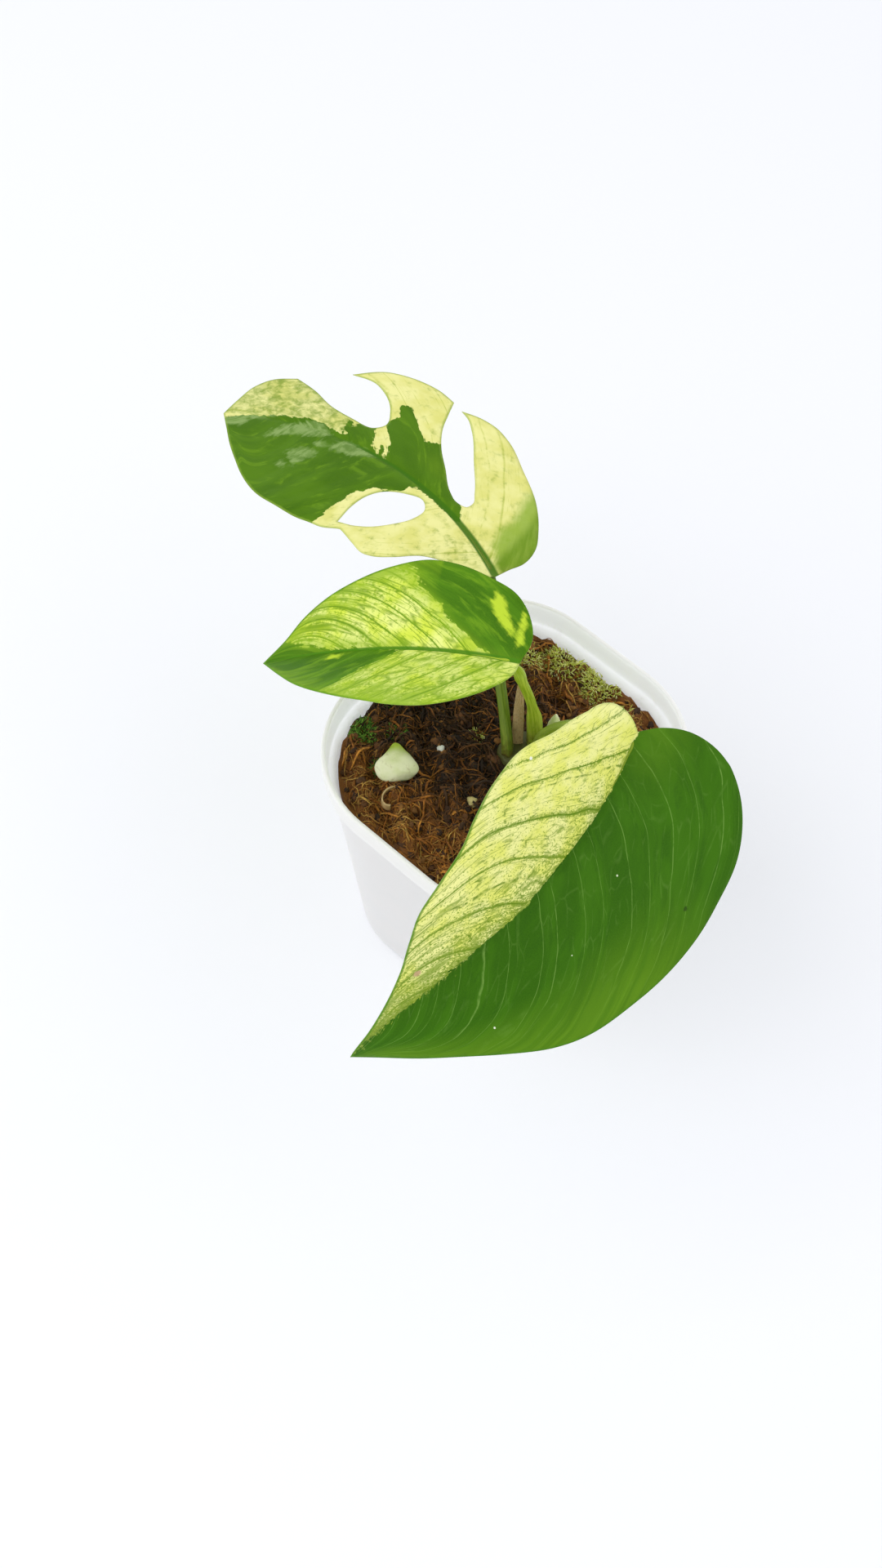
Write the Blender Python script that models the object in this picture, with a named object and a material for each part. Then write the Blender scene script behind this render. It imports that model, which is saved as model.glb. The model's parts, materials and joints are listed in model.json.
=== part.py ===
"""A variegated mini monstera with three leaves, growing in a small white square pot.

Units here are millimetres, turned into Blender's metres when a mesh is made. The pot's
sides lie along X and Y, its base is centred on the origin, and Z points up. Each leaf is
drawn flat first, as distances x along its midrib and w to its left, and then laid on a
folded, drooping surface that follows the midrib through the air.
"""

import math

import bmesh
import bpy
import numpy as np
from mathutils import Vector
from mathutils.geometry import delaunay_2d_cdt

MM = 0.001
GAP = 0.3

# Pot: a tapered square with very round corners and a band round its rim
POT_HEIGHT = 71.5
POT_RIM_SIDE = 75.0
POT_BASE_SIDE = 60.0
POT_RIM_RADIUS = 27.0
POT_BASE_RADIUS = 19.5
BAND_HEIGHT = 6.0
BAND_DEPTH = 1.0
BAND_FOOT_INSET = 0.7
LEDGE_HEIGHT = 1.0
RIM_BEVEL = (0.3, 0.8)
RIM_FLAT = 1.3
RIM_INNER_BEVEL = (1.6, 0.6)
BASE_BEVEL = 1.0
WALL = 1.2
FLOOR = 1.6
FLOOR_FILLET = 1.5
CORNER_STEPS = 8
DRAIN_RADIUS = 3.0
DRAIN_OFFSET = 17.0
DRAIN_SIDES = 20
CUT_CLEAR = 1.0

# Soil: fills the pot to a little under the band, with a lumpy top
SOIL_LEVEL = 64.0
SOIL_RINGS = 15
SOIL_LUMP = 1.1
SOIL_FALL = 1.6
SOIL_EDGE_SHARE = 0.99
SOIL_BRIM_DROP = 0.6
CALM_SPREAD = 90.0

# Crown: the short stem that the leaf stalks rise from
CROWN_CENTRE = (5.1, -1.0)
CROWN_TURN = -28.0
CROWN_LONG = 6.2
CROWN_SHORT = 4.6
CROWN_TOP = 66.4
CROWN_BOTTOM = 34.0
CROWN_SIDES = 24
CROWN_PROFILE = [(0.55, CROWN_BOTTOM), (0.86, 36.5), (0.9, 45.0), (1.0, 46.2), (0.9, 47.4), (0.9, 56.0),
                 (1.0, 57.2), (0.9, 58.4), (0.94, 63.0), (1.0, 65.2), (0.95, CROWN_TOP)]
HOLE_ABOVE = 9.0

# Blades
BLADE_THICK = 0.7
RIB_HALF = 1.2
RIB_DEPTH = 0.9
RIB_START = 4.0
RIB_RISE = 3.0
RIB_FADE = 0.7
OUTLINE_STEP = 2.6
INNER_STEP = 5.0
ROW_SHARE = 0.87
RIB_ROW_START = 1.6
RIB_ROW_STEP = 3.6
RIB_ROW_ROOM = 0.8
GRID_ROOM = 1.9
GRID_REACH = 40
LOBE_REACH = 8.0
STATION_STEP = 0.5
RIPPLE_PITCH = 4.2
RIPPLE_SPAN = 30.0

# Each stalk: seat on the crown, radius low and high, height of the sheathed part, and how
# far it leaves the crown and meets the blade before it bends
STALKS = {
    "petiole_lower": dict(seat=(5.4, -4.7), low=1.7, high=1.35, sheath=13.0, rise=18.0, meet=12.0),
    "petiole_middle": dict(seat=(8.0, -1.7), low=1.75, high=1.1, sheath=15.0, rise=20.0, meet=9.0),
    "petiole_upper": dict(seat=(1.6, 0.7), low=1.35, high=1.25, sheath=9.0, rise=14.0, meet=9.0),
}
STALK_SIDES = 12
STALK_STATIONS = 26
STALK_PLACE = 0.9
STALK_CLEAR = 0.1
SHEATH_FADE = 1.6
SWELL = 0.22
SWELL_BACK = 2.5
SWELL_LENGTH = 2.2

# Each leaf: where its stalk meets it, its length, the compass heading of its midrib at
# the stalk and how far that swings by the tip, the midrib's pitch at both ends and the
# arch between them, the tilt of the whole blade and how that changes, and how far each
# half folds up from the midrib. Angles are in degrees. Each side is a list of smooth
# runs from the stalk to the tip, and a run starts at a corner of the outline.
LEAVES = {
    "leaf_lower": dict(
        stalk="petiole_lower",
        base=(-0.7, -34.9, 116.0),
        length=93.0,
        heading=200.0,
        swing=-51.0,
        pitch=(-30.0, -62.0),
        arch=31.0,
        tilt=(-47.0, -14.0),
        fold=20.5,
        ripple=0.5,
        colour=(0.10, 0.26, 0.02),
        left=[
            [(0, 0), (-2.5, 4.6), (-3.7, 10.5), (-2.5, 17), (1, 22.7), (6.3, 27.8), (13, 31.4),
             (20.5, 32), (29, 31.7), (38.5, 31.2), (48, 29.3), (56.5, 25.7), (65, 20.5),
             (73.5, 14.5), (81, 9.2), (88, 3.8), (93, 0)],
        ],
        right=[
            [(0, 0), (-1.6, -2.8), (-3.2, -8.5), (-3.3, -13.5), (-1.5, -18.6), (3.7, -24),
             (12.5, -29.2), (21, -33.5), (29, -35.4), (36, -35.5), (41, -32.8), (46, -28.4),
             (52.5, -25), (58, -22.2), (63, -16.7), (68, -10.9), (74.5, -5.8), (83, -1.8), (93, 0)],
        ],
        window=[],
    ),
    "leaf_middle": dict(
        stalk="petiole_middle",
        base=(-0.6, -3.4, 109.0),
        length=64.7,
        heading=110.0,
        swing=13.0,
        pitch=(-11.0, -32.5),
        arch=-2.0,
        tilt=(3.0, -5.0),
        fold=17.5,
        ripple=0.3,
        colour=(0.45, 0.58, 0.08),
        left=[
            [(0, 0), (-0.5, 4.8), (1.7, 11.2), (6.7, 17.2), (12.8, 20.4), (20.2, 21.1),
             (29.1, 19.6), (39.3, 16.3), (51, 10.7), (58.1, 5.5), (64.7, 0)],
        ],
        right=[
            [(0, 0), (-0.9, -5.3), (1.4, -10.7), (5.2, -14.8), (12.1, -17.9), (19.7, -20.3),
             (25.2, -21), (33.9, -19.2), (41.1, -16.6), (48.6, -12.9), (54.1, -8.8), (58.5, -4.4),
             (64.7, 0)],
        ],
        window=[],
    ),
    "leaf_upper": dict(
        stalk="petiole_upper",
        base=(17.9, 20.2, 99.3),
        length=83.0,
        heading=66.0,
        swing=59.0,
        pitch=(2.5, -6.5),
        arch=1.5,
        tilt=(11.0, -2.0),
        fold=1.0,
        ripple=0.5,
        colour=(0.62, 0.66, 0.30),
        left=[
            [(0, 0), (0.8, 3), (3.5, 6.5), (7.5, 9.3), (11.3, 13), (14.7, 19.6), (17, 22.8),
             (20, 24.9), (25, 25.2), (31.5, 24.6)],
            [(31.5, 24.6), (36, 26.9), (41, 27.5), (47, 28.4), (53, 28.3), (60.3, 26.9),
             (66.7, 23.9), (71.5, 20.2), (75.2, 15.8), (78.4, 10.9), (81, 5.1), (83, 0)],
        ],
        right=[
            [(0, 0), (0.9, -4), (1.4, -7.6), (4.2, -12.5), (7.6, -15.3), (13.6, -19.3),
             (21.2, -23), (28.5, -26.7), (31.8, -27.3), (34.8, -26.8), (38.8, -25.2)],
            [(38.8, -25.2), (36.8, -24.3), (34.5, -22.2), (28, -14.8), (21.9, -8.8), (19.6, -6.2),
             (19.5, -4.4), (22, -3.3), (24.8, -4.1), (30.6, -8.4), (34.6, -11.9), (38.2, -17.1),
             (40.1, -22.3), (41.3, -26.4)],
            [(41.3, -26.4), (45.6, -27.9), (50, -28.1), (54.7, -26.7), (60.7, -21.2)],
            [(60.7, -21.2), (56, -21.3), (53.1, -19.4), (49.2, -14.2), (47.8, -9.6), (49.3, -7.3),
             (55, -7.4), (60.3, -8.8), (65.6, -12.4), (70.3, -15.2)],
            [(70.3, -15.2), (75, -13.6), (78.3, -10.2), (80.7, -5.2), (83, 0)],
        ],
        window=[(34.4, 23.3), (36.2, 17), (36.2, 12.6), (34.8, 8.8), (30.4, 4.6), (26.5, 2.8),
                (23.6, 4.8), (23.0, 8.4), (24.4, 14), (27.3, 19.2), (30.4, 21.8)],
    ),
}

# Pale lump on the soil: a drop lying on its side, with its narrow end away from the crown
CHUNK_CENTRE = (-17.3, 17.8)
CHUNK_HALF = (4.9, 4.3, 2.9)
CHUNK_TURN = 43.0
CHUNK_TAPER = 0.5
CHUNK_SEAT = 0.6
CHUNK_LIFT = 0.8
CHUNK_LEVELS = 7
CHUNK_SIDES = 14
CHUNK_UNDER_STEP = 0.12

# New shoot: where it stands, how far down its stub goes, and its width share at each height
BUD_FOOT = (12.8, -3.2)
BUD_RADIUS = 1.7
BUD_DEPTH = 8.0
BUD_LEAN = 0.1
BUD_SIDES = 12
BUD_HOLE_SIDES = 14
BUD_PROFILE = [(-BUD_DEPTH, 0.7), (0.0, 0.95), (2.0, 1.0), (5.0, 0.85), (7.5, 0.5), (9.0, 0.12)]

# Dry sheath: a thin strip curled across its width, which narrows and leans as it climbs
SHEATH_FOOT = (4.9, 0.6)
SHEATH_WIDTH = 2.6
SHEATH_HEIGHT = 23.0
SHEATH_LEAN = (1.3, 1.2)
SHEATH_FACING = (-0.74, -0.67)
SHEATH_THICK = 0.7
SHEATH_CURL = 0.16
SHEATH_NARROWING = 0.75
SHEATH_ROWS = 9
SHEATH_COLUMNS = 6

POT_WHITE = (0.86, 0.88, 0.87)
SOIL_BROWN = (0.09, 0.045, 0.018)
STALK_GREEN = (0.22, 0.36, 0.06)
PAPER_TAN = (0.52, 0.38, 0.22)
CHUNK_PALE = (0.74, 0.76, 0.58)


def clear_scene():
    """Removes every object that the file opened with."""
    for obj in list(bpy.data.objects):
        bpy.data.objects.remove(obj)


def material(name, colour, roughness):
    """A plain surface of one colour."""
    made = bpy.data.materials.new(name)
    made.use_nodes = True
    shader = made.node_tree.nodes["Principled BSDF"]
    shader.inputs["Base Color"].default_value = (*colour, 1.0)
    shader.inputs["Roughness"].default_value = roughness
    shader.inputs["Metallic"].default_value = 0.0
    return made


def add_object(name, points, faces, surface, smooth=True):
    """An object from points in millimetres and faces, with its normals made consistent."""
    mesh = bpy.data.meshes.new(name)
    mesh.from_pydata([tuple(p * MM) for p in np.asarray(points, float)], [], faces)
    shape = bmesh.new()
    shape.from_mesh(mesh)
    bmesh.ops.remove_doubles(shape, verts=shape.verts, dist=1e-6)
    bmesh.ops.recalc_face_normals(shape, faces=shape.faces)
    shape.to_mesh(mesh)
    shape.free()
    mesh.materials.append(surface)
    if smooth:
        mesh.shade_smooth()
        mesh.set_sharp_from_angle(angle=math.radians(35))
    obj = bpy.data.objects.new(name, mesh)
    bpy.context.scene.collection.objects.link(obj)
    return obj


def loft(rings):
    """Points and faces of a skin through rings of equal length, with a cap on each end."""
    count = len(rings[0])
    points = np.concatenate(rings)
    faces = []
    for row in range(len(rings) - 1):
        for k in range(count):
            a, b = row * count + k, row * count + (k + 1) % count
            faces.append((a, b, b + count, a + count))
    last = (len(rings) - 1) * count
    faces.append(tuple(range(count))[::-1])
    faces.append(tuple(range(last, last + count)))
    return points, faces


def rounded_square(side, radius, height):
    """A level ring in the shape of a square with round corners."""
    centre = side / 2 - radius
    ring = []
    for corner, (sx, sy) in enumerate([(1, 1), (-1, 1), (-1, -1), (1, -1)]):
        for step in range(CORNER_STEPS + 1):
            angle = math.pi / 2 * (corner + step / CORNER_STEPS)
            ring.append((sx * centre + radius * math.cos(angle),
                         sy * centre + radius * math.sin(angle), height))
    return np.array(ring)


def wall_ring(height, inset):
    """The pot wall's outline at a height, moved in by inset."""
    part = height / POT_HEIGHT
    side = POT_BASE_SIDE + (POT_RIM_SIDE - 2 * BAND_DEPTH - POT_BASE_SIDE) * part
    radius = POT_BASE_RADIUS + (POT_RIM_RADIUS - BAND_DEPTH - POT_BASE_RADIUS) * part
    return rounded_square(side - 2 * inset, radius - inset, height)


def rim_ring(height, inset):
    """The rim band's outline at a height, moved in by inset."""
    return rounded_square(POT_RIM_SIDE - 2 * inset, POT_RIM_RADIUS - inset, height)


def build_pot(surface):
    """The shell: wall, rim band and floor, with four drain holes in the floor."""
    under_band = POT_HEIGHT - BAND_HEIGHT
    rings = [
        wall_ring(0.0, BASE_BEVEL),
        wall_ring(BASE_BEVEL, 0.0),
        wall_ring(under_band - LEDGE_HEIGHT, 0.0),
        rim_ring(under_band, BAND_FOOT_INSET),
        rim_ring(POT_HEIGHT - RIM_BEVEL[1], 0.0),
        rim_ring(POT_HEIGHT, RIM_BEVEL[0]),
        rim_ring(POT_HEIGHT, RIM_FLAT),
        rim_ring(POT_HEIGHT - RIM_INNER_BEVEL[1], RIM_INNER_BEVEL[0]),
        wall_ring(under_band - 2 * LEDGE_HEIGHT, WALL),
        wall_ring(FLOOR + FLOOR_FILLET, WALL),
        wall_ring(FLOOR, WALL + FLOOR_FILLET),
    ]
    points, faces = loft(rings)
    pot = add_object("pot", points, faces, surface)
    for sx, sy in [(1, 1), (-1, 1), (-1, -1), (1, -1)]:
        centre = (sx * DRAIN_OFFSET, sy * DRAIN_OFFSET)
        cut_round_hole(pot, centre, DRAIN_RADIUS, -CUT_CLEAR, FLOOR + CUT_CLEAR, DRAIN_SIDES)
    return pot


def cut_round_hole(obj, centre, radius, low, high, sides, stretch=1.0, turn=0.0):
    """Cuts an upright round or oval hole through an object, from low to high."""
    ring = []
    for k in range(sides):
        angle = 2 * math.pi * k / sides
        x, y = radius * stretch * math.cos(angle), radius * math.sin(angle)
        ring.append((centre[0] + x * math.cos(turn) - y * math.sin(turn),
                     centre[1] + x * math.sin(turn) + y * math.cos(turn), 0))
    ring = np.array(ring)
    points, faces = loft([ring + (0, 0, low), ring + (0, 0, high)])
    cutter = add_object("cutter", points, faces, obj.data.materials[0], smooth=False)
    cutter.hide_render = True
    cutter.display_type = "WIRE"
    cut = obj.modifiers.new("hole", "BOOLEAN")
    cut.operation = "DIFFERENCE"
    cut.object = cutter
    cut.solver = "EXACT"


def soil_height(x, y):
    """The lumpy top of the soil: a few crossed waves, lower towards the wall."""
    lumps = (np.sin(0.43 * x + 1.3) * np.sin(0.37 * y + 0.4)
             + 0.7 * np.sin(0.81 * x - 0.55 * y + 2.1)
             + 0.45 * np.sin(1.27 * y + 0.62 * x))
    edge = (np.maximum(np.abs(x), np.abs(y)) / (POT_RIM_SIDE / 2)) ** 3
    near_crown = np.exp(-((x - CROWN_CENTRE[0]) ** 2 + (y - CROWN_CENTRE[1]) ** 2) / CALM_SPREAD)
    return SOIL_LEVEL + SOIL_LUMP * lumps * (1 - 0.8 * near_crown) - SOIL_FALL * edge


def build_soil(surface):
    """The soil: sides just clear of the wall, a flat bottom, and plain holes for stems."""
    inset = WALL + GAP
    brim = wall_ring(SOIL_LEVEL - SOIL_FALL - 2 * SOIL_LUMP - SOIL_BRIM_DROP, inset)
    rings = [wall_ring(FLOOR + GAP, inset + FLOOR_FILLET), wall_ring(FLOOR + GAP + FLOOR_FILLET, inset), brim]
    centre = np.array([CROWN_CENTRE[0], CROWN_CENTRE[1], 0.0])
    for share in np.linspace(SOIL_EDGE_SHARE, 1 / SOIL_RINGS, SOIL_RINGS):
        ring = centre + (brim - centre) * share
        ring[:, 2] = soil_height(ring[:, 0], ring[:, 1])
        rings.append(ring)
    points, faces = loft(rings)
    soil = add_object("soil", points, faces, surface)
    above = SOIL_LEVEL + HOLE_ABOVE
    cut_round_hole(soil, CROWN_CENTRE, CROWN_SHORT + GAP, CROWN_BOTTOM - GAP, above, CROWN_SIDES,
                   (CROWN_LONG + GAP) / (CROWN_SHORT + GAP), math.radians(CROWN_TURN))
    cut_round_hole(soil, BUD_FOOT, BUD_RADIUS + GAP, SOIL_LEVEL - BUD_DEPTH - GAP, above, BUD_HOLE_SIDES)
    return soil


def build_crown(surface):
    """The oval stem stub, ringed where old leaves grew, with a flat top for the stalks."""
    turn = math.radians(CROWN_TURN)
    rings = []
    for share, height in CROWN_PROFILE:
        ring = []
        for k in range(CROWN_SIDES):
            angle = 2 * math.pi * k / CROWN_SIDES
            x, y = CROWN_LONG * share * math.cos(angle), CROWN_SHORT * share * math.sin(angle)
            ring.append((CROWN_CENTRE[0] + x * math.cos(turn) - y * math.sin(turn),
                         CROWN_CENTRE[1] + x * math.sin(turn) + y * math.cos(turn), height))
        rings.append(np.array(ring))
    points, faces = loft(rings)
    return add_object("main_stem", points, faces, surface)


def midrib(leaf):
    """Stations along a midrib: distance, place, direction, side vector and normal.

    Heading swings evenly from stalk to tip. Pitch runs evenly from its first to its last
    value, with an arch of extra pitch that is greatest half way. The tilt then turns the
    side vector and the normal about the midrib.
    """
    length = leaf["length"]
    along = np.arange(-LOBE_REACH, length + 2.0, STATION_STEP)
    part = np.clip(along / length, 0.0, 1.05)
    heading = np.radians(leaf["heading"] + leaf["swing"] * part)
    first, last = leaf["pitch"]
    pitch = np.radians(first + (last - first) * part + leaf["arch"] * 4 * part * (1 - part))
    tilt = np.radians(leaf["tilt"][0] + leaf["tilt"][1] * part)[:, None]
    ahead = np.stack([np.cos(pitch) * np.cos(heading), np.cos(pitch) * np.sin(heading),
                      np.sin(pitch)], axis=-1)
    level = np.stack([-np.sin(heading), np.cos(heading), 0 * heading], axis=-1)
    above = np.cross(ahead, level)
    place = np.zeros_like(ahead)
    place[1:] = np.cumsum((ahead[1:] + ahead[:-1]) / 2 * STATION_STEP, axis=0)
    place += np.array(leaf["base"]) - place[int(LOBE_REACH / STATION_STEP)]
    side = level * np.cos(tilt) + above * np.sin(tilt)
    normal = above * np.cos(tilt) - level * np.sin(tilt)
    return along, place, side, normal


def blade_surface(leaf, x, w):
    """The blade's middle surface: out from the midrib along the fold, with a rippled edge."""
    along, place, side, normal = midrib(leaf)

    def at(values):
        return np.stack([np.interp(x, along, values[:, k]) for k in range(3)], axis=-1)

    fold = math.radians(leaf["fold"])
    out = (w * math.cos(fold))[..., None]
    ripple = leaf["ripple"] * (w / RIPPLE_SPAN) ** 2 * np.sin(x / RIPPLE_PITCH + np.sign(w))
    up = (np.abs(w) * math.sin(fold) + ripple)[..., None]
    return at(place) + at(side) * out + at(normal) * up


def blade_normal(leaf, x, w):
    """The surface's normal, from points a little way round each point."""
    step = 0.4
    along = blade_surface(leaf, x + step, w) - blade_surface(leaf, x - step, w)
    across = blade_surface(leaf, x, w + step) - blade_surface(leaf, x, w - step)
    normal = np.cross(along, across)
    return normal / np.linalg.norm(normal, axis=-1, keepdims=True)


def smooth_run(points, step):
    """Points every step or so along a smooth curve through the given ones, last left out."""
    points = np.array(points, float)
    chord = np.linalg.norm(np.diff(points, axis=0), axis=1)
    knots = np.concatenate([[0.0], np.cumsum(chord)])
    slopes = np.gradient(points, knots, axis=0)
    found = []
    for k in range(len(points) - 1):
        pieces = max(1, round(chord[k] / step))
        t = (np.arange(pieces) / pieces)[:, None]
        span = chord[k]
        found.append((1 + 2 * t) * (1 - t) ** 2 * points[k] + t * (1 - t) ** 2 * span * slopes[k]
                     + t * t * (3 - 2 * t) * points[k + 1] - t * t * (1 - t) * span * slopes[k + 1])
    return np.concatenate(found)


def leaf_outline(leaf):
    """The flat outline, left side out to the tip and right side back, then the window."""
    out = np.concatenate([smooth_run(run, OUTLINE_STEP) for run in leaf["left"]])
    back = np.concatenate([smooth_run(run[::-1], OUTLINE_STEP) for run in leaf["right"][::-1]])
    window = []
    if leaf["window"]:
        loop = leaf["window"] + leaf["window"][:1]
        window = smooth_run(loop, OUTLINE_STEP)
    return np.concatenate([out, back]), window


def inside(points, outline):
    """True for each point inside a closed outline, by counting crossings to its right."""
    x, y = points[:, 0][:, None], points[:, 1][:, None]
    ax, ay = outline[:, 0], outline[:, 1]
    bx, by = np.roll(ax, -1), np.roll(ay, -1)
    spans = (ay > y) != (by > y)
    slope = (bx - ax) / np.where(by == ay, 1e-9, by - ay)
    return (spans & (x < ax + (y - ay) * slope)).sum(axis=1) % 2 == 1


def clear_of(points, outline, distance):
    """True for each point that lies at least a distance from every point of an outline."""
    if len(outline) == 0:
        return np.ones(len(points), bool)
    middle = (outline + np.roll(outline, -1, axis=0)) / 2
    marks = np.concatenate([outline, middle])
    gaps = np.linalg.norm(points[:, None, :] - marks[None, :, :], axis=2)
    return gaps.min(axis=1) >= distance


def flat_blade(leaf):
    """The blade cut flat: its points, its triangles and how many points are on the edge."""
    outline, window = leaf_outline(leaf)
    rows = [(x, w) for w in (0.0, -RIB_HALF, RIB_HALF)
            for x in np.arange(RIB_ROW_START, leaf["length"] - 3, RIB_ROW_STEP)]
    grid = []
    for row, x in enumerate(np.arange(-LOBE_REACH, leaf["length"], INNER_STEP * ROW_SHARE)):
        for w in np.arange(-GRID_REACH, GRID_REACH + 1, INNER_STEP):
            grid.append((x, w + (row % 2) * INNER_STEP / 2))
    grid = np.array([p for p in grid if abs(p[1]) > RIB_HALF + RIB_ROW_START])
    rows = np.array(rows)
    kept = []
    for points, room in ((rows, RIB_ROW_ROOM), (grid, GRID_ROOM)):
        good = inside(points, outline) & clear_of(points, outline, room)
        if len(window):
            good &= ~inside(points, window) & clear_of(points, window, room)
        kept.append(points[good])
    edge = np.concatenate([outline, window]) if len(window) else outline
    points = np.concatenate([edge] + kept)
    count = len(outline)
    links = [(k, (k + 1) % count) for k in range(count)]
    links += [(count + k, count + (k + 1) % len(window)) for k in range(len(window))]
    verts, _, faces, *_ = delaunay_2d_cdt([Vector(p) for p in points], links, [], 0, 1e-4)
    flat = np.array([tuple(v) for v in verts])
    faces = np.array(faces)
    middles = flat[faces].mean(axis=1)
    good = inside(middles, outline)
    if len(window):
        good &= ~inside(middles, window)
    return flat, faces[good], links


def rib_depth(leaf, x, w):
    """How far the midrib stands out under the blade, fading towards the tip."""
    fade = np.clip(1 - x / leaf["length"], 0, 1) ** RIB_FADE
    starts = np.clip((x - RIB_START) / RIB_RISE, 0, 1)
    return RIB_DEPTH * fade * starts * np.clip(1 - np.abs(w) / RIB_HALF, 0, 1)


def build_leaf(name, leaf, surface):
    """One blade: an upper and a lower skin cut alike, joined round the edge."""
    flat, triangles, links = flat_blade(leaf)
    x, w = flat[:, 0], flat[:, 1]
    middle, normal = blade_surface(leaf, x, w), blade_normal(leaf, x, w)
    upper = middle + normal * BLADE_THICK / 2
    lower = middle - normal * (BLADE_THICK / 2 + rib_depth(leaf, x, w))[:, None]
    count = len(flat)
    faces = [tuple(int(k) for k in t) for t in triangles]
    faces += [tuple(int(k) + count for k in t[::-1]) for t in triangles]
    for a, b in links:
        faces.append((a, a + count, b + count))
        faces.append((a, b + count, b))
    return add_object(name, np.concatenate([upper, lower]), faces, surface)


def tube(name, route, radii, sides, surface):
    """A round rod along a route, its cross-section carried along without twisting."""
    route = np.array(route)
    ahead = np.gradient(route, axis=0)
    ahead /= np.linalg.norm(ahead, axis=1, keepdims=True)
    across = np.cross(ahead[0], (0.3, 0.9, 0.1))
    rings = []
    for place, way, radius in zip(route, ahead, radii):
        across = across - way * (across @ way)
        across /= np.linalg.norm(across)
        other = np.cross(way, across)
        angle = np.linspace(0, 2 * math.pi, sides, endpoint=False)[:, None]
        rings.append(place + radius * (np.cos(angle) * across + np.sin(angle) * other))
    points, faces = loft(rings)
    return add_object(name, points, faces, surface)


def stalk_route(leaf, stalk):
    """A stalk's middle line: up from its seat, bending to meet the blade square on."""
    x, w = np.array([STALK_PLACE]), np.array([0.0])
    normal = blade_normal(leaf, x, w)[0]
    top = blade_surface(leaf, x, w)[0] - normal * (BLADE_THICK / 2 + GAP + STALK_CLEAR)
    foot = np.array([*stalk["seat"], CROWN_TOP + GAP])
    bends = [foot, foot + (0, 0, stalk["rise"]), top - normal * stalk["meet"], top]
    t = np.linspace(0, 1, STALK_STATIONS)[:, None]
    return ((1 - t) ** 3 * bends[0] + 3 * t * (1 - t) ** 2 * bends[1]
            + 3 * t * t * (1 - t) * bends[2] + t ** 3 * bends[3])


def build_stalk(name, leaf, surface):
    """One leaf stalk, wider where it is sheathed and a little swollen under the blade."""
    stalk = STALKS[name]
    route = stalk_route(leaf, stalk)
    climbed = np.concatenate([[0], np.cumsum(np.linalg.norm(np.diff(route, axis=0), axis=1))])
    narrow = 1 / (1 + np.exp(-(climbed - stalk["sheath"]) / SHEATH_FADE))
    swollen = SWELL * np.exp(-((climbed[-1] - climbed - SWELL_BACK) / SWELL_LENGTH) ** 2)
    radii = stalk["low"] + (stalk["high"] - stalk["low"]) * narrow + swollen
    return tube(name, route, radii, STALK_SIDES, surface)


def build_sheath(surface):
    """The dry sheath: a thin curled strip that stands between two stalks."""
    rows, columns = SHEATH_ROWS, SHEATH_COLUMNS
    facing = np.array(SHEATH_FACING)
    along = np.array([-facing[1], facing[0]])
    inner, outer = [], []
    for r in range(rows):
        share = r / (rows - 1)
        width = SHEATH_WIDTH * (1 - SHEATH_NARROWING * share ** 3)
        height = CROWN_TOP + GAP + SHEATH_HEIGHT * share
        centre = np.array(SHEATH_FOOT) + np.array(SHEATH_LEAN) * share ** 0.7
        for c in range(columns + 1):
            across = (c / columns - 0.5) * width
            place = centre + along * across - facing * SHEATH_CURL * across ** 2
            inner.append((*(place - facing * SHEATH_THICK / 2), height))
            outer.append((*(place + facing * SHEATH_THICK / 2), height))
    points = np.array(inner + outer)
    count, wide = len(inner), columns + 1
    faces = []
    for r in range(rows - 1):
        for c in range(columns):
            a = r * wide + c
            faces.append((a, a + 1, a + 1 + wide, a + wide))
            faces.append((a + count, a + wide + count, a + 1 + wide + count, a + 1 + count))
    rim = [c for c in range(wide)] + [r * wide + columns for r in range(1, rows)]
    rim += [(rows - 1) * wide + c for c in range(columns - 1, -1, -1)]
    rim += [r * wide for r in range(rows - 2, 0, -1)]
    for a, b in zip(rim, rim[1:] + rim[:1]):
        faces.append((a, a + count, b + count, b))
    return add_object("dry_sheath", points, faces, surface)


def build_bud(surface):
    """The pale new shoot: a pointed bud on a stub that stands in its own hole."""
    route = [(BUD_FOOT[0] + BUD_LEAN * max(rise, 0.0), BUD_FOOT[1], SOIL_LEVEL + rise)
             for rise, share in BUD_PROFILE]
    return tube("new_bud", route, [BUD_RADIUS * share for rise, share in BUD_PROFILE], BUD_SIDES, surface)


def chunk_middle():
    """The height of the lump's middle, so that its lowest part is seated in the soil's top."""
    under = float(soil_height(np.array(CHUNK_CENTRE[0]), np.array(CHUNK_CENTRE[1])))
    return under + CHUNK_HALF[2] * CHUNK_LIFT


def build_chunk(surface):
    """The pale lump, its underside following the soil's top."""
    turn = math.radians(CHUNK_TURN)
    rings = []
    for row in range(CHUNK_LEVELS):
        level = -1 + 2 * (row + 0.5) / CHUNK_LEVELS
        share = math.sqrt(1 - level * level)
        ring = []
        for k in range(CHUNK_SIDES):
            angle = 2 * math.pi * k / CHUNK_SIDES
            lump = 1 + 0.06 * math.sin(3 * angle + 4 * level) + 0.04 * math.sin(5 * angle - 3 * level)
            x = CHUNK_HALF[0] * share * lump * math.cos(angle)
            y = CHUNK_HALF[1] * share * lump * math.sin(angle) * (1 - CHUNK_TAPER * math.cos(angle))
            px = CHUNK_CENTRE[0] + x * math.cos(turn) - y * math.sin(turn)
            py = CHUNK_CENTRE[1] + x * math.sin(turn) + y * math.cos(turn)
            under = soil_height(np.array(px), np.array(py)) + GAP + CHUNK_SEAT
            lowest = under + row * CHUNK_UNDER_STEP
            ring.append((px, py, max(lowest, chunk_middle() + CHUNK_HALF[2] * level)))
        rings.append(np.array(ring))
    points, faces = loft(rings)
    return add_object("pale_lump", points, faces, surface)


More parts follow.
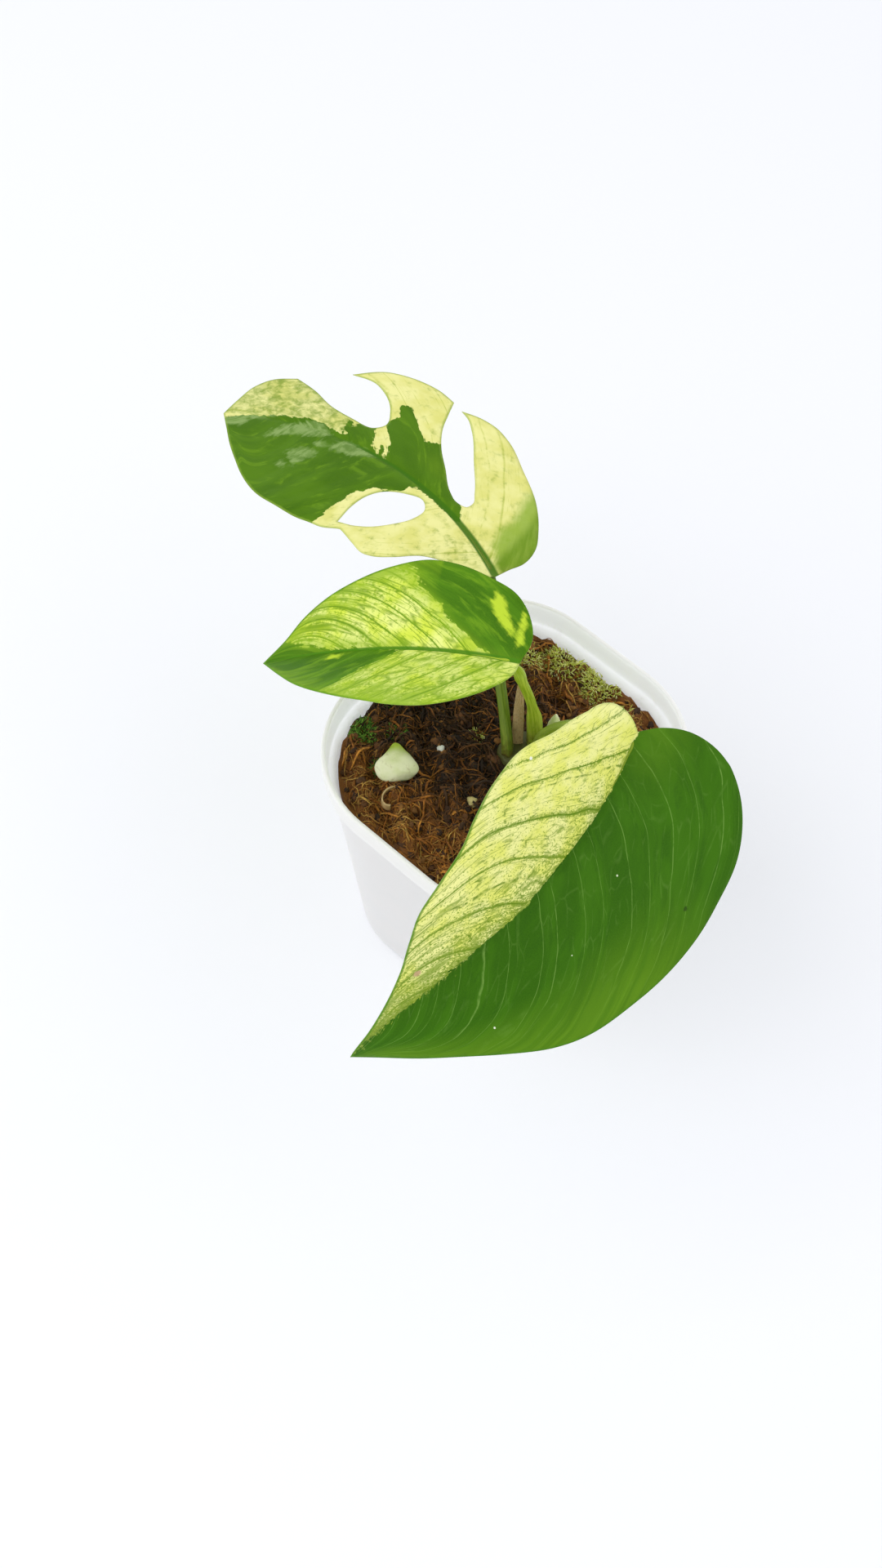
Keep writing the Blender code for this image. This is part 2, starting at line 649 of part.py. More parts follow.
def build():
    """Makes every piece of the plant and its pot."""
    clear_scene()
    green = material("stalk green", STALK_GREEN, 0.45)
    build_pot(material("pot white", POT_WHITE, 0.4))
    build_soil(material("soil brown", SOIL_BROWN, 0.95))
    build_crown(green)
    for name, leaf in LEAVES.items():
        build_leaf(name, leaf, material(name + " colour", leaf["colour"], 0.4))
        build_stalk(leaf["stalk"], leaf, green)
    build_sheath(material("dry sheath tan", PAPER_TAN, 0.8))
    pale = material("pale green", CHUNK_PALE, 0.7)
    build_bud(pale)
    build_chunk(pale)


build()
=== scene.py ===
# %% [markdown]
# # A variegated mini monstera in a small white pot
# The plant has three leaves, each on its own stalk, and stands in a square nursery pot of
# dark fibre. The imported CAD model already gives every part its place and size. Here each
# part gets the surface that the eye expects: blades with veins and patches of two colours,
# fibre and moss in the pot, and a satin white wall. All shapes are worked out with numpy in
# millimetres and turned into metres when a mesh is made.

# %% Load the CAD model and keep its box
import json
import math
from types import SimpleNamespace

import bpy
import numpy as np
from mathutils import Matrix, Vector
from mathutils.geometry import delaunay_2d_cdt

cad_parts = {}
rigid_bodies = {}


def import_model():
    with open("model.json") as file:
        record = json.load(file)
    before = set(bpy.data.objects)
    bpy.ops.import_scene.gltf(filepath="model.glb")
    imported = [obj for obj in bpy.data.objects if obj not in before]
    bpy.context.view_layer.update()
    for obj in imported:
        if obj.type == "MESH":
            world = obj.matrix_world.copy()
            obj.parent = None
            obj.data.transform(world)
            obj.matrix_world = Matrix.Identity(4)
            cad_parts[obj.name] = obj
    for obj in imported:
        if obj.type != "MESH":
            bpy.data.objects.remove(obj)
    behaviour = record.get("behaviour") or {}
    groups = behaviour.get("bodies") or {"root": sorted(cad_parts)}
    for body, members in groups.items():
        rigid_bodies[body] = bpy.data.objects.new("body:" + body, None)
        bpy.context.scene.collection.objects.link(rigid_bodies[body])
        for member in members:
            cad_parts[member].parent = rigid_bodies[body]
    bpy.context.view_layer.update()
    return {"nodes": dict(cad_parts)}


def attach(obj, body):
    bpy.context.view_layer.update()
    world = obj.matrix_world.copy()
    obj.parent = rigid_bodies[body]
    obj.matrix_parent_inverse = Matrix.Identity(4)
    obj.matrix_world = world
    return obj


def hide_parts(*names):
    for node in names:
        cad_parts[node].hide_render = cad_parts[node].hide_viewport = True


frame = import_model()
MM = 0.001
scene = bpy.context.scene
print("CAD nodes:", ", ".join(sorted(frame["nodes"])))

# %% [markdown]
# ## Colours and meshes
# Screen colours are stored with a curve, but Cycles adds light in straight numbers, so a
# colour read from a screen is straightened first. Every piece below is made by one helper,
# which takes whole arrays of points and faces, an optional flat map for patterns that
# follow the surface, and named numbers for each point that the materials can read.

# %% Helpers for colours and meshes


def hue(code):
    """A linear colour from a six-digit screen colour, by the sRGB curve."""
    stored = np.array([int(code[k:k + 2], 16) for k in (0, 2, 4)]) / 255
    linear = np.where(stored <= 0.04045, stored / 12.92, ((stored + 0.055) / 1.055) ** 2.4)
    return (*linear, 1.0)


def make_piece(name, points, faces, surface, slot, flat=None, marks=None, sharp=180, stands_for=None):
    """An object at the origin from points in millimetres, riding on the one body."""
    mesh = bpy.data.meshes.new(name)
    mesh.from_pydata((np.asarray(points).reshape(-1, 3) * MM).tolist(), [], [tuple(f) for f in faces])
    if flat is not None:
        layer = mesh.uv_layers.new(name="flat")
        corners = np.zeros(len(mesh.loops), np.int32)
        mesh.loops.foreach_get("vertex_index", corners)
        layer.data.foreach_set("uv", np.asarray(flat, np.float32)[corners].ravel())
    for word, values in (marks or {}).items():
        mark = mesh.attributes.new(word, "FLOAT", "POINT")
        mark.data.foreach_set("value", np.asarray(values, np.float32))
    mesh.materials.append(surface)
    mesh.shade_smooth()
    if sharp < 180:
        mesh.set_sharp_from_angle(angle=math.radians(sharp))
    piece = bpy.data.objects.new(name, mesh)
    scene.collection.objects.link(piece)
    if slot:
        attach(piece, "root")
    if stands_for:
        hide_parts(stands_for)
    print(f"{name}: {len(mesh.vertices)} points, {len(mesh.polygons)} faces")
    return piece


def round_steps(count):
    """Angles at even steps round a full turn."""
    return np.linspace(0, 2 * math.pi, count, endpoint=False)


def turned(x, y, angle):
    """A flat turn about the origin: x cos - y sin, then x sin + y cos."""
    return x * np.cos(angle) - y * np.sin(angle), x * np.sin(angle) + y * np.cos(angle)


def skin(rows, columns, closed=True):
    """Faces of a grid of points stored row by row; closed joins the last column to the first."""
    row = np.arange(rows - 1)[:, None] * columns
    column = np.arange(columns if closed else columns - 1)[None, :]
    following = (column + 1) % columns
    corners = [row + column, row + following, row + columns + following, row + columns + column]
    return np.stack(corners, axis=-1).reshape(-1, 4)


def tube_faces(rows, columns, count=1):
    """Faces of closed tubes stored one after another: their skins, then a face on each end."""
    first = (np.arange(count) * rows * columns)[:, None, None]
    ring = np.arange(columns)
    quads = (skin(rows, columns)[None] + first).reshape(-1, 4).tolist()
    starts = (ring[::-1][None] + first[:, 0]).tolist()
    ends = (ring[None] + (rows - 1) * columns + first[:, 0]).tolist()
    return quads + starts + ends


def closed_loft(rings):
    """Points and faces of a skin through rings of equal length, closed at each end."""
    return np.reshape(rings, (-1, 3)), tube_faces(*np.shape(rings)[:2])


def wave_noise(x, y, size, seed, layers=4):
    """Soft noise from -1 to 1: crossed waves in random directions, each layer half as long."""
    draw = np.random.default_rng(seed)
    total, weight = 0.0, 0.0
    for layer in range(layers):
        length = size / 2 ** layer
        for _ in range(5):
            angle, phase = draw.uniform(0, 2 * math.pi, 2)
            way = 2 * math.pi / (length * draw.uniform(0.8, 1.3))
            bend = 0.6 * np.sin((y * np.cos(angle) - x * np.sin(angle)) * way * 0.7 + phase)
            wave = np.sin((x * np.cos(angle) + y * np.sin(angle)) * way + phase + bend)
            total = total + wave / 2 ** layer
        weight += 2.2 / 2 ** layer
    return np.clip(total / weight, -1, 1)


# %% [markdown]
# ## Camera, floor and light
# The photograph looks steeply down from one corner of the pot. Its camera was worked out
# from the pot's rim and the soil line, so the picture can be compared with it pixel by
# pixel. The light is plain and soft: a pale sky from all sides, and two large panels that
# give the leaves a gentle sheen. The floor and the sky are only a stage.

# %% Camera
VIEW_AZIMUTH = math.radians(-47)
VIEW_ELEVATION = math.radians(59)
VIEW_DISTANCE = 475.5
VIEW_TARGET = np.array([-17.2, 3.93, 71.5])
SENSOR_WIDTH = 36
LENS = 48.75
back = Vector((math.sin(VIEW_AZIMUTH) * math.cos(VIEW_ELEVATION),
               -math.cos(VIEW_AZIMUTH) * math.cos(VIEW_ELEVATION), math.sin(VIEW_ELEVATION)))
right = Vector((math.cos(VIEW_AZIMUTH), math.sin(VIEW_AZIMUTH), 0))
up = back.cross(right)
camera = bpy.data.objects.new("camera", bpy.data.cameras.new("camera"))
camera.data.sensor_width = SENSOR_WIDTH
camera.data.lens = LENS
camera.matrix_world = (Matrix.Translation(Vector(VIEW_TARGET * MM) + back * VIEW_DISTANCE * MM)
                       @ Matrix((right, up, back)).transposed().to_4x4())
scene.collection.objects.link(camera)
scene.camera = camera

# %% Light
LIT_HEIGHT = 0.08
scene.view_settings.view_transform = "Standard"
sky = bpy.data.worlds.new("pale sky")
sky.use_nodes = True
sky.node_tree.nodes["Background"].inputs["Color"].default_value = (0.985, 0.99, 1.0, 1.0)
sky.node_tree.nodes["Background"].inputs["Strength"].default_value = 0.9
scene.world = sky


def add_panel(name, place, width, power):
    """A square soft light, in metres and watts, turned to face the plant."""
    lamp = bpy.data.lights.new(name, "AREA")
    lamp.size = width
    lamp.energy = power
    panel = bpy.data.objects.new(name, lamp)
    panel.location = place
    panel.rotation_mode = "QUATERNION"
    panel.rotation_quaternion = (Vector(place) - Vector((0, 0, LIT_HEIGHT))).to_track_quat("Z", "Y")
    scene.collection.objects.link(panel)


add_panel("key panel", (-0.55, 0.35, 0.9), 0.8, 3.0)
add_panel("fill panel", (0.3, -0.7, 0.8), 0.8, 1.0)
print("Lights:", ", ".join(thing.name for thing in scene.objects if thing.type == "LIGHT"))

# %% [markdown]
# ## Words for shader nodes
# A material is a small graph. Wiring one by hand takes many lines, so these helpers give
# each common node a short word. The output of a node is held as a wire, and a plain sum of
# wires and numbers adds the maths nodes that work it out. A colour may be given as a code.

# %% The node helpers


def feed(tree, node, inputs):
    """Links wires to a node's inputs and sets the plain values, by name or number."""
    for key, value in inputs.items():
        if isinstance(value, Wire):
            tree.links.new(value.socket, node.inputs[key])
        else:
            node.inputs[key].default_value = hue(value) if isinstance(value, str) else value


class Wire:
    """An output of a node, which takes the signs + - * / with numbers and other wires."""

    def __init__(self, graph, socket):
        self.graph = graph
        self.socket = socket

    def __add__(self, other):
        return self.graph.maths("ADD", self, other)

    def __sub__(self, other):
        return self.graph.maths("SUBTRACT", self, other)

    def __rsub__(self, other):
        return self.graph.maths("SUBTRACT", other, self)

    def __mul__(self, other):
        return self.graph.maths("MULTIPLY", self, other)

    def __truediv__(self, other):
        return self.graph.maths("DIVIDE", self, other)


class Graph:
    """Short words for building a node tree. Each word adds a node and returns its output."""

    def __init__(self, tree):
        self.tree = tree

    def add(self, kind, inputs, output=0, **settings):
        """A node of a kind, with its settings and then its inputs."""
        node = self.tree.nodes.new(kind)
        for word, value in settings.items():
            setattr(node, word, value)
        feed(self.tree, node, inputs)
        return Wire(self, node.outputs[output])

    def use(self, group, *values):
        """A node group with its inputs in order."""
        return self.add("ShaderNodeGroup", dict(enumerate(values)), node_tree=group)

    def maths(self, operation, first, second=0.0):
        """One sum on numbers."""
        return self.add("ShaderNodeMath", {0: first, 1: second}, operation=operation)

    def ramp(self, value, low, high, start=0.0, end=1.0):
        """A smooth step from start to end as value goes from low to high."""
        return self.add("ShaderNodeMapRange", {0: value, 1: low, 2: high, 3: start, 4: end},
                        interpolation_type="SMOOTHSTEP")

    def noise(self, place, size, detail=3.0, rough=0.55, warp=0.0):
        """Fractal noise about 0.5 whose largest lumps are 1 / size of the place's unit."""
        return self.add("ShaderNodeTexNoise", {"Vector": place, "Scale": size, "Detail": detail,
                                               "Roughness": rough, "Distortion": warp})

    def net(self, place, size):
        """The distance to the nearest border between random cells of about 1 / size."""
        return self.add("ShaderNodeTexVoronoi", {"Vector": place, "Scale": size},
                        feature="DISTANCE_TO_EDGE")

    def mix(self, share, first, second):
        """A colour between two others."""
        return self.add("ShaderNodeMix", {0: share, 6: first, 7: second}, output=2, data_type="RGBA")

    def mark(self, word):
        """A number stored on the mesh's points."""
        return self.add("ShaderNodeAttribute", {}, output=2, attribute_name=word)

    def place(self):
        """The place of a point in the object, in metres."""
        return self.add("ShaderNodeTexCoord", {}, output=3)

    def flat(self):
        """The place of a point in the piece's flat map."""
        return self.add("ShaderNodeUVMap", {}, uv_map="flat")

    def part(self, vector, number):
        """One number of a vector: 0, 1 and 2 stand for x, y and z."""
        return self.add("ShaderNodeSeparateXYZ", {0: vector}, output=number)

    def join(self, x, y, z=0.0):
        """A vector from three numbers."""
        return self.add("ShaderNodeCombineXYZ", {0: x, 1: y, 2: z})

    def bump(self, height, distance):
        """A normal bent by a height in the range 0 to 1, over a distance in millimetres."""
        return self.add("ShaderNodeBump", {"Height": height, "Distance": distance * MM, "Strength": 1.0})

    def shade(self, inputs):
        """Feeds the material's own shader."""
        feed(self.tree, self.tree.nodes["Principled BSDF"], inputs)


def new_finish(name):
    """A material and its graph."""
    paint = bpy.data.materials.new(name)
    paint.use_nodes = True
    return paint, Graph(paint.node_tree)


def new_group(name, inputs, result, build):
    """A node group with numbers and a vector called Place as inputs, built by a function of them."""
    tree = bpy.data.node_groups.new(name, "ShaderNodeTree")
    for word in inputs:
        kind = "NodeSocketVector" if word == "Place" else "NodeSocketFloat"
        tree.interface.new_socket(word, in_out="INPUT", socket_type=kind)
    tree.interface.new_socket(result, in_out="OUTPUT", socket_type="NodeSocketFloat")
    graph = Graph(tree)
    sockets = tree.nodes.new("NodeGroupInput").outputs
    given = [Wire(graph, sockets[word]) for word in inputs]
    feed(tree, tree.nodes.new("NodeGroupOutput"), {result: build(graph, *given)})
    return tree


# %% The floor, a wide disc under the pot
FLOOR_REACH = 3000.0
floor_paint, g = new_finish("pale floor")
g.shade({"Base Color": (0.9, 0.912, 0.95, 1), "Roughness": 0.9, "Specular IOR Level": 0.1})
around = round_steps(64)
circle = np.stack([np.cos(around), np.sin(around), 0 * around], axis=-1)
make_piece("floor", FLOOR_REACH * circle, [range(64)], floor_paint, slot=None)

# %% [markdown]
# ## Effects that several materials share
# Three effects come back in many places. Veins are thin lines at even steps of a number
# that each blade stores on its points. Patchy noise with an adjustable cover makes flecks,
# speckles and stains. Fine grain is the slight unevenness of a satin surface. Each is one
# node group, built once and placed with its own values.

# %% The shared groups


def thin_lines(g, phase, step, width, offset):
    """1 where phase / step + offset is midway between two whole numbers, 0 a width away."""
    beside = g.maths("ABSOLUTE", g.maths("FRACT", phase / step + offset) - 0.5)
    return 1.0 - g.ramp(beside * step, 0.0, width)


def patchy(g, place, size, cover, soft):
    """Noise cut at a level that leaves a chosen share covered."""
    level = g.noise(place, size, 4.0, 0.62, 0.3)
    return g.ramp(level - (0.74 - cover * 0.48), soft * -1.0, soft)


def fine_grain(g, place, size):
    """A fine unevenness as a height."""
    return g.noise(place, size, 3.0, 0.6) * 0.65 + g.noise(place, size * 4.3, 2.0, 0.5) * 0.35


VEINS = new_group("thin lines", ["Phase", "Step", "Width", "Offset"], "Line", thin_lines)
PATCHES = new_group("patches", ["Place", "Size", "Cover", "Soft"], "Mask", patchy)
GRAIN = new_group("fine grain", ["Place", "Size"], "Height", fine_grain)
print("Shared effects:", ", ".join(tree.name for tree in bpy.data.node_groups))

# %% [markdown]
# ## The pot
# The pot is a thin tapered shell of white plastic, square with very round corners, with a
# band under its rim. Its section is one profile, up the outside, over the lip and down the
# inside, carried round a rounded square that grows with height. The four drain holes are
# cut with a Boolean, which is applied so that no cutter is left.

# %% Pot sizes, the same as in the CAD
POT_HEIGHT = 71.5
POT_RIM_SIDE = 75.0
POT_BASE_SIDE = 60.0
POT_RIM_RADIUS = 27.0
POT_BASE_RADIUS = 19.5
BAND_HEIGHT = 6.0
BAND_DEPTH = 1.0
UNDER_BAND = POT_HEIGHT - BAND_HEIGHT
WALL = 1.2
FLOOR = 1.6
FOOT_ROUND = 1.2
LIP_ROUND = 0.65
INSIDE_ROUND = 1.5
DRAIN_RADIUS = 3.0
DRAIN_OFFSET = 17.0


def rounded_square(side, radius, height, steps=20):
    """Level rings: four quarter circles of a radius, their centres side / 2 - radius out."""
    side, radius, height = (np.asarray(v, float).reshape(-1, 1) for v in (side, radius, height))
    corner = np.repeat(np.arange(4), steps + 1)
    angle = math.pi / 2 * (corner + np.tile(np.arange(steps + 1) / steps, 4))
    across = np.array([1, -1, -1, 1])[corner]
    along = np.array([1, 1, -1, -1])[corner]
    x = across * (side / 2 - radius) + radius * np.cos(angle)
    y = along * (side / 2 - radius) + radius * np.sin(angle)
    return np.stack([x, y, height + 0 * x], axis=-1)


def wall_size(height, inset):
    """The wall's side and corner radius at a height, both growing evenly from the base."""
    part = np.asarray(height, float) / POT_HEIGHT
    side = POT_BASE_SIDE + (POT_RIM_SIDE - 2 * BAND_DEPTH - POT_BASE_SIDE) * part
    radius = POT_BASE_RADIUS + (POT_RIM_RADIUS - BAND_DEPTH - POT_BASE_RADIUS) * part
    return side - 2 * inset, radius - inset


def pot_profile():
    """Heights and insets up the outside, over the lip and down the inside, with their kind."""
    foot = np.linspace(0, math.pi / 2, 6)
    lip = np.linspace(0.15, math.pi - 0.15, 9)
    bottom = np.linspace(0.2, math.pi / 2, 6)
    rows = [(FOOT_ROUND - FOOT_ROUND * math.cos(t), FOOT_ROUND - FOOT_ROUND * math.sin(t), "wall")
            for t in foot]
    rows += [(h, 0.0, "wall") for h in np.linspace(4, UNDER_BAND - 1.0, 16)]
    rows += [(UNDER_BAND - 0.5, -0.15, "wall"), (UNDER_BAND - 0.1, 0.45, "rim"),
             (UNDER_BAND + 0.35, 0.12, "rim"), (UNDER_BAND + 1.0, 0.05, "rim")]
    rows += [(h, 0.0, "rim") for h in np.linspace(UNDER_BAND + 2, POT_HEIGHT - 0.9, 4)]
    rows += [(POT_HEIGHT - LIP_ROUND + LIP_ROUND * math.sin(t), LIP_ROUND - LIP_ROUND * math.cos(t), "rim")
             for t in lip]
    rows += [(POT_HEIGHT - 1.2, 1.35, "rim"), (POT_HEIGHT - 3.2, 1.5, "rim"),
             (UNDER_BAND - 0.6, WALL + 0.4, "rim")]
    rows += [(h, WALL, "wall") for h in np.linspace(UNDER_BAND - 2.5, FLOOR + 3, 14)]
    rows += [(FLOOR + INSIDE_ROUND - INSIDE_ROUND * math.sin(t),
              WALL + INSIDE_ROUND - INSIDE_ROUND * math.cos(t), "wall") for t in bottom]
    return rows


def pot_rings():
    """The profile carried round the pot: each row is a rounded square of its own size."""
    rings = []
    for height, inset, kind in pot_profile():
        if kind == "wall":
            side, radius = wall_size(height, inset)
        else:
            side, radius = POT_RIM_SIDE - 2 * inset, POT_RIM_RADIUS - inset
        rings.append(rounded_square(side, radius, height)[0])
    return np.array(rings)


# %% Pot finish: satin white, faintly warm outside and cool inside as painted shade, with soil marks near the soil and a painted glow inside
MARKS_FROM = 0.0655
MARKS_TO = 0.0685
INNER_GLOW = 0.2

pot_white, g = new_finish("pot white")
place, inner = g.place(), g.mark("inner")
stain = g.use(PATCHES, place, 130.0, 0.32, 0.1)
low_inside = inner * g.ramp(g.part(place, 2), MARKS_FROM, MARKS_TO, 1.0, 0.0)
clouds = g.ramp(g.noise(place, 60.0, 2.0), 0.3, 0.7, 0.0, 0.5)
# The cooler tint on the inner faces is painted shade. Their emission, set by INNER_GLOW, is painted light
# standing in for light that comes through the thin plastic.
tint = g.mix(clouds, g.mix(inner, "FBF8F4", "F4FBFB"), "F3F4F2")
g.shade({
    "Base Color": g.mix(low_inside * (stain * 0.3 + 0.06), tint, "A58B66"),
    "Roughness": 0.34, "Normal": g.bump(g.use(GRAIN, place, 900.0), 0.03),
    "Subsurface Weight": 0.75, "Subsurface Radius": (1.0, 1.0, 1.0), "Subsurface Scale": 0.006,
    "Emission Color": (0.93, 0.98, 1.0, 1.0), "Emission Strength": inner * INNER_GLOW})

# %% Make the pot and cut its drain holes
rings = pot_rings()
points, faces = closed_loft(rings)
top_row = int(np.argmax(rings[:, 0, 2]))
is_inner = np.repeat((np.arange(len(rings)) > top_row + 2).astype(float), rings.shape[1])
pot = make_piece("white_pot", points, faces, pot_white, "pot", marks={"inner": is_inner}, sharp=50)
cutters = []
for across, along in [(1, 1), (-1, 1), (-1, -1), (1, -1)]:
    ring = DRAIN_RADIUS * circle + (across * DRAIN_OFFSET, along * DRAIN_OFFSET, 0)
    tube = closed_loft([ring - (0, 0, 1), ring + (0, 0, FLOOR + 1)])
    cutter = make_piece("drain cutter", *tube, pot_white, slot=None, sharp=60)
    hole = pot.modifiers.new("drain", "BOOLEAN")
    hole.operation = "DIFFERENCE"
    hole.object = cutter
    cutters.append(cutter)
bpy.context.view_layer.update()
cut = bpy.data.meshes.new_from_object(pot.evaluated_get(bpy.context.evaluated_depsgraph_get()))
pot.modifiers.clear()
pot.data = cut
for cutter in cutters:
    bpy.data.objects.remove(cutter)
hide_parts("pot")
print("Pot with drain holes:", len(pot.data.polygons), "faces")

# %% [markdown]
# ## The blades
# A leaf is drawn flat first, as distances x along its midrib and w to its left. Each edge is
# a list of smooth runs, and a new run starts at a corner, such as the tip of a lobe. The
# flat shape is then laid on a surface that follows the midrib through the air, folds up on
# both sides of it and ripples near the margin. A grid alone can't have splits and a window,
# so the flat points are joined by a Delaunay triangulation that keeps the outline's edges.

# %% Leaf shapes, the same as in the CAD
BLADE_HALF = 0.35
LEAVES = {
    "leaf_lower": dict(
        stalk="petiole_lower", base=(-0.7, -34.9, 116.0), length=93.0, heading=200.0, swing=-51.0,
        pitch=(-30.0, -62.0), arch=31.0, tilt=(-47.0, -14.0), fold=20.5, ripple=0.5,
        left=[
            [(0, 0), (-2.5, 4.6), (-3.7, 10.5), (-2.5, 17), (1, 22.7), (6.3, 27.8), (13, 31.4),
             (20.5, 32), (29, 31.7), (38.5, 31.2), (48, 29.3), (56.5, 25.7), (65, 20.5),
             (73.5, 14.5), (81, 9.2), (88, 3.8), (93, 0)],
        ],
        right=[
            [(0, 0), (-1.6, -2.8), (-3.2, -8.5), (-3.3, -13.5), (-1.5, -18.6), (3.7, -24),
             (12.5, -29.2), (21, -33.5), (29, -35.4), (36, -35.5), (41, -32.8), (46, -28.4),
             (52.5, -25), (58, -22.2), (63, -16.7), (68, -10.9), (74.5, -5.8), (83, -1.8), (93, 0)],
        ],
        window=[],
    ),
    "leaf_middle": dict(
        stalk="petiole_middle", base=(-0.6, -3.4, 109.0), length=64.7, heading=110.0, swing=13.0,
        pitch=(-11.0, -32.5), arch=-2.0, tilt=(3.0, -5.0), fold=17.5, ripple=0.3,
        left=[
            [(0, 0), (-0.5, 4.8), (1.7, 11.2), (6.7, 17.2), (12.8, 20.4), (20.2, 21.1),
             (29.1, 19.6), (39.3, 16.3), (51, 10.7), (58.1, 5.5), (64.7, 0)],
        ],
        right=[
            [(0, 0), (-0.9, -5.3), (1.4, -10.7), (5.2, -14.8), (12.1, -17.9), (19.7, -20.3),
             (25.2, -21), (33.9, -19.2), (41.1, -16.6), (48.6, -12.9), (54.1, -8.8), (58.5, -4.4),
             (64.7, 0)],
        ],
        window=[],
    ),
    "leaf_upper": dict(
        stalk="petiole_upper", base=(17.9, 20.2, 99.3), length=83.0, heading=66.0, swing=59.0,
        pitch=(2.5, -6.5), arch=1.5, tilt=(11.0, -2.0), fold=1.0, ripple=0.5,
        left=[
            [(0, 0), (0.8, 3), (3.5, 6.5), (7.5, 9.3), (11.3, 13), (14.7, 19.6), (17, 22.8),
             (20, 24.9), (25, 25.2), (31.5, 24.6)],
            [(31.5, 24.6), (36, 26.9), (41, 27.5), (47, 28.4), (53, 28.3), (60.3, 26.9),
             (66.7, 23.9), (71.5, 20.2), (75.2, 15.8), (78.4, 10.9), (81, 5.1), (83, 0)],
        ],
        right=[
            [(0, 0), (0.9, -4), (1.4, -7.6), (4.2, -12.5), (7.6, -15.3), (13.6, -19.3),
             (21.2, -23), (28.5, -26.7), (31.8, -27.3), (34.8, -26.8), (38.8, -25.2)],
            [(38.8, -25.2), (36.8, -24.3), (34.5, -22.2), (28, -14.8), (21.9, -8.8), (19.6, -6.2),
             (19.5, -4.4), (22, -3.3), (24.8, -4.1), (30.6, -8.4), (34.6, -11.9), (38.2, -17.1),
             (40.1, -22.3), (41.3, -26.4)],
            [(41.3, -26.4), (45.6, -27.9), (50, -28.1), (54.7, -26.7), (60.7, -21.2)],
            [(60.7, -21.2), (56, -21.3), (53.1, -19.4), (49.2, -14.2), (47.8, -9.6), (49.3, -7.3),
             (55, -7.4), (60.3, -8.8), (65.6, -12.4), (70.3, -15.2)],
            [(70.3, -15.2), (75, -13.6), (78.3, -10.2), (80.7, -5.2), (83, 0)],
        ],
        window=[(34.4, 23.3), (36.2, 17), (36.2, 12.6), (34.8, 8.8), (30.4, 4.6), (26.5, 2.8),
                (23.6, 4.8), (23.0, 8.4), (24.4, 14), (27.3, 19.2), (30.4, 21.8)],
    ),
}

# %% The surface that a leaf lies on
MIDRIB_STEP = 0.5
MIDRIB_BEHIND = 8.0
RIPPLE_REACH = 30.0
RIPPLE_STEP = 4.2


def midrib(leaf):
    """Stations along a midrib, from its heading and pitch added up in half-millimetre steps."""
    length = leaf["length"]
    along = np.arange(-MIDRIB_BEHIND, length + 2.0, MIDRIB_STEP)
    part = np.clip(along / length, 0.0, 1.05)
    heading = np.radians(leaf["heading"] + leaf["swing"] * part)
    first, last = leaf["pitch"]
    pitch = np.radians(first + (last - first) * part + leaf["arch"] * 4 * part * (1 - part))
    tilt = np.radians(leaf["tilt"][0] + leaf["tilt"][1] * part)[:, None]
    ahead = np.stack([np.cos(pitch) * np.cos(heading), np.cos(pitch) * np.sin(heading),
                      np.sin(pitch)], axis=-1)
    level = np.stack([-np.sin(heading), np.cos(heading), 0 * heading], axis=-1)
    above = np.cross(ahead, level)
    place = np.zeros_like(ahead)
    place[1:] = np.cumsum((ahead[1:] + ahead[:-1]) / 2 * MIDRIB_STEP, axis=0)
    place += np.array(leaf["base"]) - place[int(MIDRIB_BEHIND / MIDRIB_STEP)]
    side = level * np.cos(tilt) + above * np.sin(tilt)
    normal = above * np.cos(tilt) - level * np.sin(tilt)
    return along, place, side, normal


def blade_surface(leaf, x, w):
    """Midrib point + side * w * cos(fold) + normal * (|w| * sin(fold) + ripple)."""
    along, place, side, normal = midrib(leaf)

    def at(values):
        return np.stack([np.interp(x, along, values[:, k]) for k in range(3)], axis=-1)

    fold = math.radians(leaf["fold"])
    ripple = leaf["ripple"] * (w / RIPPLE_REACH) ** 2 * np.sin(x / RIPPLE_STEP + np.sign(w))
    up = (np.abs(w) * math.sin(fold) + ripple)[..., None]
    return at(place) + at(side) * (w * math.cos(fold))[..., None] + at(normal) * up


def blade_normal(leaf, x, w, step=0.4):
    """The cross product of the differences along and across the blade."""
    along = blade_surface(leaf, x + step, w) - blade_surface(leaf, x - step, w)
    across = blade_surface(leaf, x, w + step) - blade_surface(leaf, x, w - step)
    normal = np.cross(along, across)
    return normal / np.linalg.norm(normal, axis=-1, keepdims=True)


def smooth_run(points, step):
    """Points every step along a cubic curve through the given ones, the last left out."""
    points = np.array(points, float)
    chord = np.linalg.norm(np.diff(points, axis=0), axis=1)
    slopes = np.gradient(points, np.concatenate([[0.0], np.cumsum(chord)]), axis=0)
    found = []
    for k, span in enumerate(chord):
        pieces = max(1, round(span / step))
        t = (np.arange(pieces) / pieces)[:, None]
        found.append((1 + 2 * t) * (1 - t) ** 2 * points[k] + t * (1 - t) ** 2 * span * slopes[k]
                     + t * t * (3 - 2 * t) * points[k + 1] - t * t * (1 - t) * span * slopes[k + 1])
    return np.concatenate(found)


# %% [markdown]
# Two measures in the flat leaf are used again and again: whether a point is inside a closed
# outline, and how far it is from it. Together they give a signed distance, positive inside.
# The cut of the blade uses it, and so do the patches of green and cream: the mesh carries
# the smooth distance, and the material cuts it at zero with a little noise, which gives a
# crisp, ragged border at any size.

# %% Signed distances in the flat leaf
FAR = 8.0


def inside(points, outline):
    """Counts the crossings of a ray to the right; an odd number means inside."""
    x, y = points[:, 0][:, None], points[:, 1][:, None]
    ax, ay = outline[:, 0], outline[:, 1]
    bx, by = np.roll(ax, -1), np.roll(ay, -1)
    slope = (bx - ax) / np.where(by == ay, 1e-9, by - ay)
    return (((ay > y) != (by > y)) & (x < ax + (y - ay) * slope)).sum(axis=1) % 2 == 1


